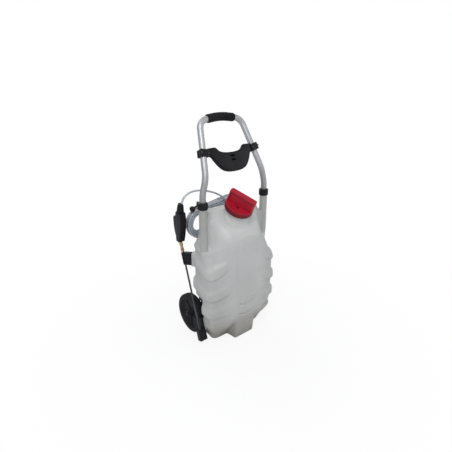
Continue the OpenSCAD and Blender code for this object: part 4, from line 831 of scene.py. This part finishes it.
# %% [markdown]
# The tank takes two finishes: the milky body, and the thinner walls of the two columns, where the
# metal tube shows through.
# %% Finishes of the tank
hand_over(tank, "tank_shell", tank_milk, "tank_unit", ["tank"], degrees=80)
tank.data.materials.append(column_milk)
FOOT_Z, TUBE_SHOWS = 452, 18.5
SHOULDER_X, SHOULDER_Y, SHOULDER_Z = 158, 9, 560
for face in tank.data.polygons:
    c = face.center / MM
    over_shoulder = abs(c.x) > SHOULDER_X or abs(c.y) > SHOULDER_Y or c.z > SHOULDER_Z
    if c.z > FOOT_Z and math.hypot(abs(c.x) - COLUMN_X, c.y) < TUBE_SHOWS and over_shoulder:
        face.material_index = 1
print("column faces", sum(face.material_index for face in tank.data.polygons))

# %% [markdown]
# The screw cap is a turned cup with thirty fine ribs on its skirt, and a grip bar across it. The
# cup is spun from a profile, and the ribs are thin drums set round it.
# %% Screw cap
CAP_PROFILE = [(0.001, 51.9), (52.6, 51.9), (52.6, 34.6), (53.4, 33.9), (58.6, 33.9), (60.4, 34.5), (61, 35.9),
               (61, 55.8), (60.3, 57.4), (59, 57.9), (57.2, 57.9), (56.2, 57.2), (56, 55.9), (0.001, 55.9)]
cap = turned("cap", CAP_PROFILE, ON_NECK, 90)
ribs = []
for turn in turns(30):
    rib = drum("rib", 1.6, 15, (60.6, 0, 45), ON_NECK @ turn, sides=10)
    rounded(rib, 0.7, 2)
    ribs.append(rib)
cap = join(cap, ribs)
print("cup with ribs", len(cap.data.polygons))

# %% [markdown]
# The bar is an outline with round ends, thickened upwards. A tilted block with rounded edges cuts
# a hollow for the fingers into each side, and a small block on its edge takes off each top corner.
# The bar stands turned on the cup, as a cap stops when its thread is tight.
# %% Grip bar of the cap
BAR_HALF_L, BAR_HALF_W, END_L, END_W, END_STEPS = 50, 5, 10, 9, 6
BAR_FOOT, BAR_RISE = 55, 50.9
HOLLOW_AT, HOLLOW_TILT, HOLLOW_EDGE = (0, 3.5, 99), math.radians(12), 2.5
CAP_TURN = Matrix.Rotation(math.radians(-63), 4, "Z")
bar_line = []
for along, across, start in ((1, 1, 0), (-1, 1, 90), (-1, -1, 180), (1, -1, 270)):
    for k in range(END_STEPS + 1):
        a = math.radians(start + 15 * k)
        bar_line.append((along * BAR_HALF_L + END_L * math.cos(a), across * BAR_HALF_W + END_W * math.sin(a)))
bar = thickened("bar", bar_line, BAR_RISE, Matrix.Translation((0, 0, BAR_FOOT)))
for side, word in SIDES:
    hollow = brick("hollow", (-52, 0, -70), (52, 40, 0),
                   Matrix.Translation(HOLLOW_AT) @ Matrix.Rotation(HOLLOW_TILT, 4, "X"))
    hollow.data.transform(Matrix.Scale(side, 4, (0, 1, 0)))
    face_outwards(hollow)
    rounded(hollow, HOLLOW_EDGE, 4)
    combine(bar, hollow, "DIFFERENCE")
for side, word in SIDES:
    corner = brick("corner", (-4, -20, -4), (4, 20, 4),
                   Matrix.Translation((side * 62, 0, 107)) @ Matrix.Rotation(math.radians(45), 4, "Y"))
    combine(bar, corner, "DIFFERENCE")
rounded(bar, 1.8, 3)
bar.data.transform(ON_NECK @ CAP_TURN)
cap = join(cap, [bar])
hand_over(cap, "screw_cap", cap_red, "cap", ["fill_cap"])
# The skirt's faces get the darker red: painted shade where the skirt faces down between its ribs.
cap.data.materials.append(painted_shade_red)
off_neck = ON_NECK.inverted()
SKIRT_TOP, SKIRT_INSIDE = 54.5, 54
for face in cap.data.polygons:
    c = off_neck @ (face.center / MM)
    if c.z < SKIRT_TOP and math.hypot(c.x, c.y) > SKIRT_INSIDE:
        face.material_index = 1
print("skirt faces", sum(face.material_index for face in cap.data.polygons))

# %% [markdown]
# The hanger is a crescent of glass-filled plastic that spans the handle, with two slots sunk into
# its face for the strap of a harness. Half of its outline is given, soft along the arcs and
# straight across the ends. The second layer needs the same outline a little smaller.
# %% Outlines of the hanger
CRESCENT = [(0, 87), (18, 87.5), (42, 91), (57, 98), (68, 110), (78, 113), (112, 112), (114, 82), (101, 75),
            (93, 61), (81, 42), (60, 20), (32, 10), (0, 8)]
STRAIGHT_END = 6


def mirrored(points):
    return points + [(-a, b) for a, b in reversed(points[1:-1])]


def soft_outline(points, steps):
    line = smooth_path([(a, b, 0) for a, b in points], steps)
    return [(p.x, p.y) for p in line]


def both_halves(points):
    upper, end, lower = points[:STRAIGHT_END], points[STRAIGHT_END], points[STRAIGHT_END + 1:]
    return mirrored(soft_outline(upper, 3) + [end] + soft_outline(lower, 3))


def inset_outline(points, inset):
    result = []
    for i, point in enumerate(points):
        here = Vector(point)
        first = (here - Vector(points[i - 1])).normalized()
        second = (Vector(points[(i + 1) % len(points)]) - here).normalized()
        way = Vector((first.y + second.y, -first.x - second.x))
        result.append(tuple(here + way * inset * 2 / way.length_squared))
    return result


small_crescent = inset_outline(mirrored(CRESCENT), 5)[:len(CRESCENT)]
print("points of the crescent", len(both_halves(CRESCENT)))

# %% [markdown]
# Both layers are thickened, rounded and cut by the same slots. At each end a clamp in two halves
# holds the tube: a block with rounded edges, bored through along the leaning leg.
# %% Hanger on the handle
ON_HANDLE = Matrix.Translation((0, 0, 752)) @ Matrix.Rotation(math.radians(-25), 4, "X")
UPRIGHT = Matrix.Rotation(math.radians(90), 4, "X")
SLOT_HALF_W, SLOT_H, SLOT_BACK = 11, 9, 3
CLAMP_V, CLAMP_HALF_H, LEG_U, LEG_LEAN = 96, 15, 148, math.atan2(43, 226)
layers = []
for points, start, depth, edge in ((CRESCENT, 0, 10, 2.0), (small_crescent, 8, 5, 1.5)):
    layer = thickened("layer", both_halves(points), depth, ON_HANDLE @ UPRIGHT @ Matrix.Translation((0, 0, start)),
                      edge)
    for slot_v in (50, 66):
        cutter = brick("slot", (-SLOT_HALF_W, slot_v, SLOT_BACK), (SLOT_HALF_W, slot_v + SLOT_H, 40),
                       ON_HANDLE @ UPRIGHT)
        rounded(cutter, 2.5, 4)
        combine(layer, cutter, "DIFFERENCE")
    layers.append(layer)
for side, word in SIDES:
    on_leg = ON_HANDLE @ Matrix.Translation((side * (LEG_U - CLAMP_V * math.tan(LEG_LEAN)), 0, CLAMP_V)) \
        @ Matrix.Rotation(-side * LEG_LEAN, 4, "Y")
    low_x, high_x = (-17.5, 20) if side < 0 else (-20, 17.5)
    for low_y, high_y in ((-17, -0.15), (0.15, 17)):
        block = brick("clamp", (low_x, low_y, -CLAMP_HALF_H), (high_x, high_y, CLAMP_HALF_H), on_leg)
        rounded(block, 2.4, 4)
        combine(block, drum("bore", 12.72, 60, place=on_leg), "DIFFERENCE")
        layers.append(block)
hanger = join(layers[0], layers[1:])
hand_over(hanger, "strap_hanger", satin_black, "handle", ["harness_hanger", "hanger_clamps"])

# %% [markdown]
# The handle is one aluminium tube, bent cold at seven corners. The line down its middle is made of
# straight runs and round bends, and a curve with a round bevel carries the wall along it.
# %% Handle tube
def bent_line(points, radii, step=5.0):
    points = [Vector(p) for p in points]
    line = [points[0]]
    for i in range(1, len(points) - 1):
        first, second = (points[i] - points[i - 1]).normalized(), (points[i + 1] - points[i]).normalized()
        turn = first.angle(second)
        cut = radii[i] * math.tan(turn / 2)
        inward = (second - first * second.dot(first)).normalized()
        start = points[i] - first * cut
        parts = max(3, math.ceil(radii[i] * turn / step))
        for k in range(parts + 1):
            a = turn * k / parts
            line.append(start + first * radii[i] * math.sin(a) + inward * radii[i] * (1 - math.cos(a)))
    return line + [points[-1]]


TUBE_R = 25.4 / 2
CROWN_V, CORNER_V, CORNER_U, CROWN_R, LEG_BEND, TOP_BEND = 240.0, 226.0, 105.0, 300.0, 120, 46
half = [Vector((COLUMN_X, 0, 454)), Vector((COLUMN_X, 0, 690)), Vector((LEG_U, 0, 752)),
        ON_HANDLE @ Vector((CORNER_U, 0, CORNER_V))]
corners = [Vector((-p.x, p.y, p.z)) for p in half] + [ON_HANDLE @ Vector((0, 0, CROWN_V))] + half[::-1]
half_radii = [0, LEG_BEND, LEG_BEND, TOP_BEND]
tube = mesh_of(pipe_curve("tube", bent_line(corners, half_radii + [CROWN_R] + half_radii[::-1]), TUBE_R, 9))
hand_over(tube, "bent_handle_tube", drawn_alloy, "handle", ["handle_tube"])

# %% [markdown]
# Each leg is held by a collar that screws down over the top of its column. The collar is a turned
# sleeve with twelve finger ribs, and its bore leaves the tube free.
# %% Locking collars
COLLAR = [(17.3, 0), (19, 0), (20, 1.2), (20, 25), (19.2, 27.2), (17.6, 28), (13.6, 28), (12.9, 27.4), (12.9, 18),
          (17.3, 17)]
COLLAR_Z, RIB_AT = 631, (19.4, 0, 13)
for side, word in SIDES:
    on_column = Matrix.Translation((side * COLUMN_X, 0, COLLAR_Z))
    collar = turned("collar", COLLAR + [COLLAR[0]], on_column, 72)
    ribs = []
    for turn in turns(12):
        rib = drum("rib", 1.7, 21, place=on_column @ turn @ Matrix.Translation(RIB_AT), sides=16)
        rounded(rib, 1.0, 3)
        ribs.append(rib)
    collar = join(collar, ribs)
    hand_over(collar, "collar_" + word + "_turned", satin_black, word + "_collar",
              ["collar_" + word])

# %% [markdown]
# The grip is a tube of foam slipped over the crown of the handle. It follows the same gentle arc as
# the tube and narrows in the last few millimetres at both ends.
# %% Foam grip
GRIP_HALF, GRIP_STEPS, GRIP_R = 68.0, 56, TUBE_R + 4.6
GRIP_END, GRIP_END_SHARE = 5, 0.90
slope = math.atan2(CROWN_V - CORNER_V, CORNER_U)
reach = CROWN_R * math.sin(slope)
top = CROWN_V - CROWN_R * (1 / math.cos(slope) - 1)
grip_points = []
for i in range(GRIP_STEPS + 1):
    u = -GRIP_HALF + 2 * GRIP_HALF * i / GRIP_STEPS
    if abs(u) < reach:
        v = top - (CROWN_R - math.sqrt(CROWN_R ** 2 - u * u))
    else:
        v = CROWN_V - abs(u) * math.tan(slope)
    grip_points.append(ON_HANDLE @ Vector((u, 0, v)))
grip_line = pipe_curve("grip", grip_points, GRIP_R, 12)
for i, spot in enumerate(grip_line.data.splines[0].points):
    from_end = min(i, GRIP_STEPS - i) * 2 * GRIP_HALF / GRIP_STEPS
    spot.radius = GRIP_END_SHARE + (1 - GRIP_END_SHARE) * smooth(0, GRIP_END, from_end)
grip = mesh_of(grip_line)
hand_over(grip, "foam_grip", foam_black, "handle", ["handle_grip"])

# %% [markdown]
# The tyre is turned from a half section with a rounded crown and three grooves round it. The lugs on
# its shoulders come from two rows of small blocks that are cut away all at once.
# %% Tyres
TYRE = [(78, -16), (80, -18.6), (84, -19.5), (88, -18.6), (91, -15.6), (92.4, -11), (92.8, -7.6), (91.2, -7.2),
        (91.2, -6.0), (92.9, -5.6), (93, -0.8), (91.4, -0.5), (91.4, 0.5), (93, 0.8), (92.9, 5.6), (91.2, 6.0),
        (91.2, 7.2), (92.8, 7.6), (92.4, 11), (91, 15.6), (88, 18.6), (84, 19.5), (80, 18.6), (78, 16)]
WHEEL_X, AXLE_Y, AXLE_Z = 164.5, 109, 93
LUGS, LUG_SHIFT, LUG_R, LUG_OUT, LUG_TILT = 36, 2.5, 92.6, 15.2, 18


def wheel_place(side):
    return Matrix.Translation((side * WHEEL_X, AXLE_Y, AXLE_Z)) @ Matrix.Rotation(math.radians(90), 4, "Y")


for side, word in SIDES:
    tyre = turned("tyre", TYRE + [TYRE[0]], wheel_place(side), 120)
    notches = []
    for k in range(LUGS):
        for edge in (-1, 1):
            spin = Matrix.Rotation(math.radians(360 / LUGS * k + LUG_SHIFT * edge), 4, "Z")
            tilt = Matrix.Rotation(math.radians(LUG_TILT * edge), 4, "X")
            notches.append(brick("notch", (-1.9, -1.6, -5), (1.9, 1.6, 5),
                                 wheel_place(side) @ spin @ Matrix.Translation((LUG_R, 0, edge * LUG_OUT)) @ tilt))
    combine(tyre, join(notches[0], notches[1:]), "DIFFERENCE")
    hand_over(tyre, "tyre_" + word + "_tread", tyre_black, word + "_wheel", ["tyre_" + word],
              degrees=30)

# %% [markdown]
# The gun is moulded in two halves. Its side outline is thickened to the full width and rounded,
# the joint between the halves is a narrow groove down the middle, and a pocket for the lever is cut
# from the back. For the groove, two cuts part a thin band from the skin, and its faces are sunk.
# %% Gun body
GUN_W, SEAM_HALF_W, SEAM_DEPTH, POCKET_HALF_W = 29.0, 0.4, 0.7, 6.2
GUN_OUTLINE = [(-10, 0), (10, 0), (14, 12), (15, 40), (15, 66), (22, 98), (25, 114), (23, 134), (-8, 134),
               (-10, 128), (-14, 116), (-17.5, 102), (-18.5, 84), (-17.5, 50), (-13.5, 14)]
BACK_LINE, FRONT_LINE = GUN_OUTLINE[1:8], GUN_OUTLINE[8:] + [GUN_OUTLINE[0]]
ON_GUN = Matrix.Translation(GUN_BASE) @ Matrix.Rotation(GUN_LEAN, 4, "X")
SIDEWAYS = Matrix(((0, 0, 1, 0), (1, 0, 0, 0), (0, 1, 0, 0), (0, 0, 0, 1)))
gun = thickened("gun", soft_outline(BACK_LINE, 4) + soft_outline(FRONT_LINE, 4), GUN_W,
                SIDEWAYS @ Matrix.Translation((0, 0, -GUN_W / 2)))
rounded(gun, 5.0, 6, 50)


def part_the_seam():
    for x in (-SEAM_HALF_W, SEAM_HALF_W):
        bpy.ops.mesh.select_all(action="SELECT")
        bpy.ops.mesh.bisect(plane_co=(x, 0, 0), plane_no=(1, 0, 0))


in_edit_mode(gun, part_the_seam)
for vertex in gun.data.vertices:
    vertex.select = False
for face in gun.data.polygons:
    face.select = abs(face.center.x) < SEAM_HALF_W - 0.01
select_only(gun)
bpy.ops.object.mode_set(mode="EDIT")
bpy.ops.mesh.select_mode(type="FACE")
bpy.ops.mesh.extrude_region_shrink_fatten(TRANSFORM_OT_shrink_fatten={"value": -SEAM_DEPTH})
bpy.ops.mesh.select_mode(type="VERT")
bpy.ops.object.mode_set(mode="OBJECT")
combine(gun, brick("pocket", (-POCKET_HALF_W, 7, 10), (POCKET_HALF_W, 40, 112)), "DIFFERENCE")
gun.data.transform(ON_GUN)
hand_over(gun, "gun_shell", satin_black, "wand", ["gun_body_left", "gun_body_right"])

# %% [markdown]
# The lever is a curved finger plate behind the gun, as wide as the pocket allows. Its outline runs
# once round, from the pin at the bottom up its outer edge and back along its inner one.
# %% Lever
LEVER = [(9, 17), (15.5, 14), (18, 8), (24, 8), (31, 16), (39, 30), (45, 46), (50, 64), (53.5, 82), (54, 92),
         (50, 100), (43, 104), (37.5, 104), (36, 99), (34.5, 91), (27, 83), (20, 77), (14, 50), (9.5, 30)]
LEVER_W = 11.8
lever = thickened("lever", soft_outline(LEVER + [LEVER[0]], 5)[:-1], LEVER_W,
                  ON_GUN @ SIDEWAYS @ Matrix.Translation((0, 0, -LEVER_W / 2)), 2.2, 4)
hand_over(lever, "gun_lever", satin_black, "trigger", ["gun_trigger"])

# %% [markdown]
# The nut on top of the gun is a sleeve with flutes that fingers can turn, wider towards the gun. It
# is turned from a profile, the flutes are cut with one ring of thin drums, and it is stretched
# across, so that it covers the end of the gun.
# %% Hose nut
NUT_PROFILE = [(0.001, 0.1), (10.8, 0.1), (11.8, 1.2), (12, 4), (11.2, 14), (10.4, 24), (10, 29), (9.6, 30.4),
               (8.4, 31), (8.4, 36.4), (7.6, 37.4), (4.4, 37.6), (4.2, 38.4), (4.2, 40), (0.001, 40)]
FLUTE_AT, NUT_AT, NUT_STRETCH = (12.3, 0, 16), (0, 9, 134), (1.25, 1.35, 1, 1)
nut = turned("nut", NUT_PROFILE, Matrix(), 64)
flutes = [drum("flute", 1.5, 22, place=turn @ Matrix.Translation(FLUTE_AT), sides=12) for turn in turns(15)]
combine(nut, join(flutes[0], flutes[1:]), "DIFFERENCE")
nut.data.transform(ON_GUN @ Matrix.Translation(NUT_AT) @ Matrix.Diagonal(NUT_STRETCH))
hand_over(nut, "hose_nut_turned", satin_black, "wand", ["hose_nut"])

# %% [markdown]
# The hose hangs on two hooks. The left one reaches over the hank and ends in a turned knob, so the
# hose can't slip off. Both are bent from round rod, the knob is spun from a profile, and each hook
# has a round flange where it meets its pad on the tank.
# %% Hose hooks
KNOB_AT, HOOK_TOP = Vector((-146, 106, 600)), Vector((-100, 108, 616))
KNOB_WAY = (KNOB_AT - HOOK_TOP).normalized()
hook_routes = [
    [(-92, 54.3, 567.3), (-92, 70, 567.3), (-92, 124, 567.3), (-92, 136, 569), (-93, 140, 580), (-96, 140, 600),
     (-98, 137, 612), (-100, 128, 616), (-103, 116, 615), (-112, 108, 612), (-126, 107, 607), tuple(KNOB_AT)],
    [(20, 54.3, 585.1), (20, 70, 585.1), (20, 124, 585.1), (20, 136, 587), (20, 140, 598), (20, 140, 611.1)]]
ROD_R, FLANGE_Y = 4.2, 56.2
KNOB = [(0.001, -12), (6, -12), (9, -9.5), (12, -5), (12.6, 0), (12, 4), (9, 7.5), (5, 9), (0.001, 9.2)]
rods = [mesh_of(pipe_curve("rod", smooth_path(route, 4), ROD_R, 4)) for route in hook_routes]
knob = turned("knob", KNOB, Matrix.Translation(KNOB_AT) @ KNOB_WAY.to_track_quat("Z", "Y").to_matrix().to_4x4(), 40)
feet = []
for x, z in HOOK_SEATS:
    on_pad = Matrix.Translation((x, FLANGE_Y, z)) @ Matrix.Rotation(math.radians(90), 4, "X")
    feet.append(drum("foot", 8.5, 4, place=on_pad, sides=40))
for foot in feet:
    rounded(foot, 1.0, 3)
hooks = join(rods[0], [rods[1], knob] + feet)
hand_over(hooks, "hose_hooks_bent", satin_black, "tank_unit", ["hose_hooks"])

# %% [markdown]
# The rim is one dished disc. Its web is closed and carries five ribs between the hub and the band,
# so no light passes through it. It is spun from a half section, and the ribs are small blocks.
# %% Rims
RIM = [(6.6, -20.5), (16, -20.5), (17, -19.5), (17, -6), (19, -3.6), (60, -3.6), (66, -6), (71, -14), (72, -18.5),
       (77.6, -18.5), (77.6, 18.5), (72, 18.5), (71, 14), (66, 6), (60, 3.6), (19, 3.6), (17, 6), (17, 19.5),
       (16, 20.5), (6.6, 20.5)]
for side, word in SIDES:
    rim = turned("rim", RIM + [RIM[0]], wheel_place(side), 96)
    ribs = []
    for turn in turns(5):
        rib = brick("rib", (15, -2.4, -9), (70, 2.4, 9), wheel_place(side) @ turn)
        rounded(rib, 1.0, 3)
        ribs.append(rib)
    rim = join(rim, ribs)
    hand_over(rim, "rim_" + word + "_turned", dull_black, word + "_wheel", ["rim_" + word])

# %% [markdown]
# The remaining moulded parts have the right shapes already, but their edges are knife sharp. A copy
# of each solid is merged, its flat faces are cleaned, and every edge gets the small radius that a
# mould leaves. The radius differs with the size of the part.
# %% Edges of the moulded parts
BODY_OF = {node: body for body, parts in frame["record"]["behaviour"]["bodies"].items() for node in parts}
EDGE_OF = {"axle_caps": 0.8, "rear_carrier": 1.2, "pump_housing": 2.0, "battery_door": 1.0, "switch_bezel": 0.5,
           "power_switch": 0.5, "socket_cap": 0.5, "lance_nut": 0.4, "nozzle_cap": 0.6, "nozzle_body": 0.3,
           "lance_clip": 0.9, "lance_cup": 1.2, "trigger_lock": 0.5, "cap_vent": 0.4}


def merge_and_flatten():
    bpy.ops.mesh.remove_doubles(threshold=0.005)
    bpy.ops.mesh.dissolve_limited(angle_limit=math.radians(0.6))


for node_name, width in EDGE_OF.items():
    piece = bpy.data.objects.new(node_name + "_edges", frame["nodes"][node_name].data.copy())
    bpy.context.collection.objects.link(piece)
    piece.data.transform(Matrix.Scale(1 / MM, 4))
    in_edit_mode(piece, merge_and_flatten)
    rounded(piece, width, 3, 32)
    hand_over(piece, node_name + "_edges", FINISH_OF[node_name], BODY_OF[node_name],
              [node_name], degrees=32)
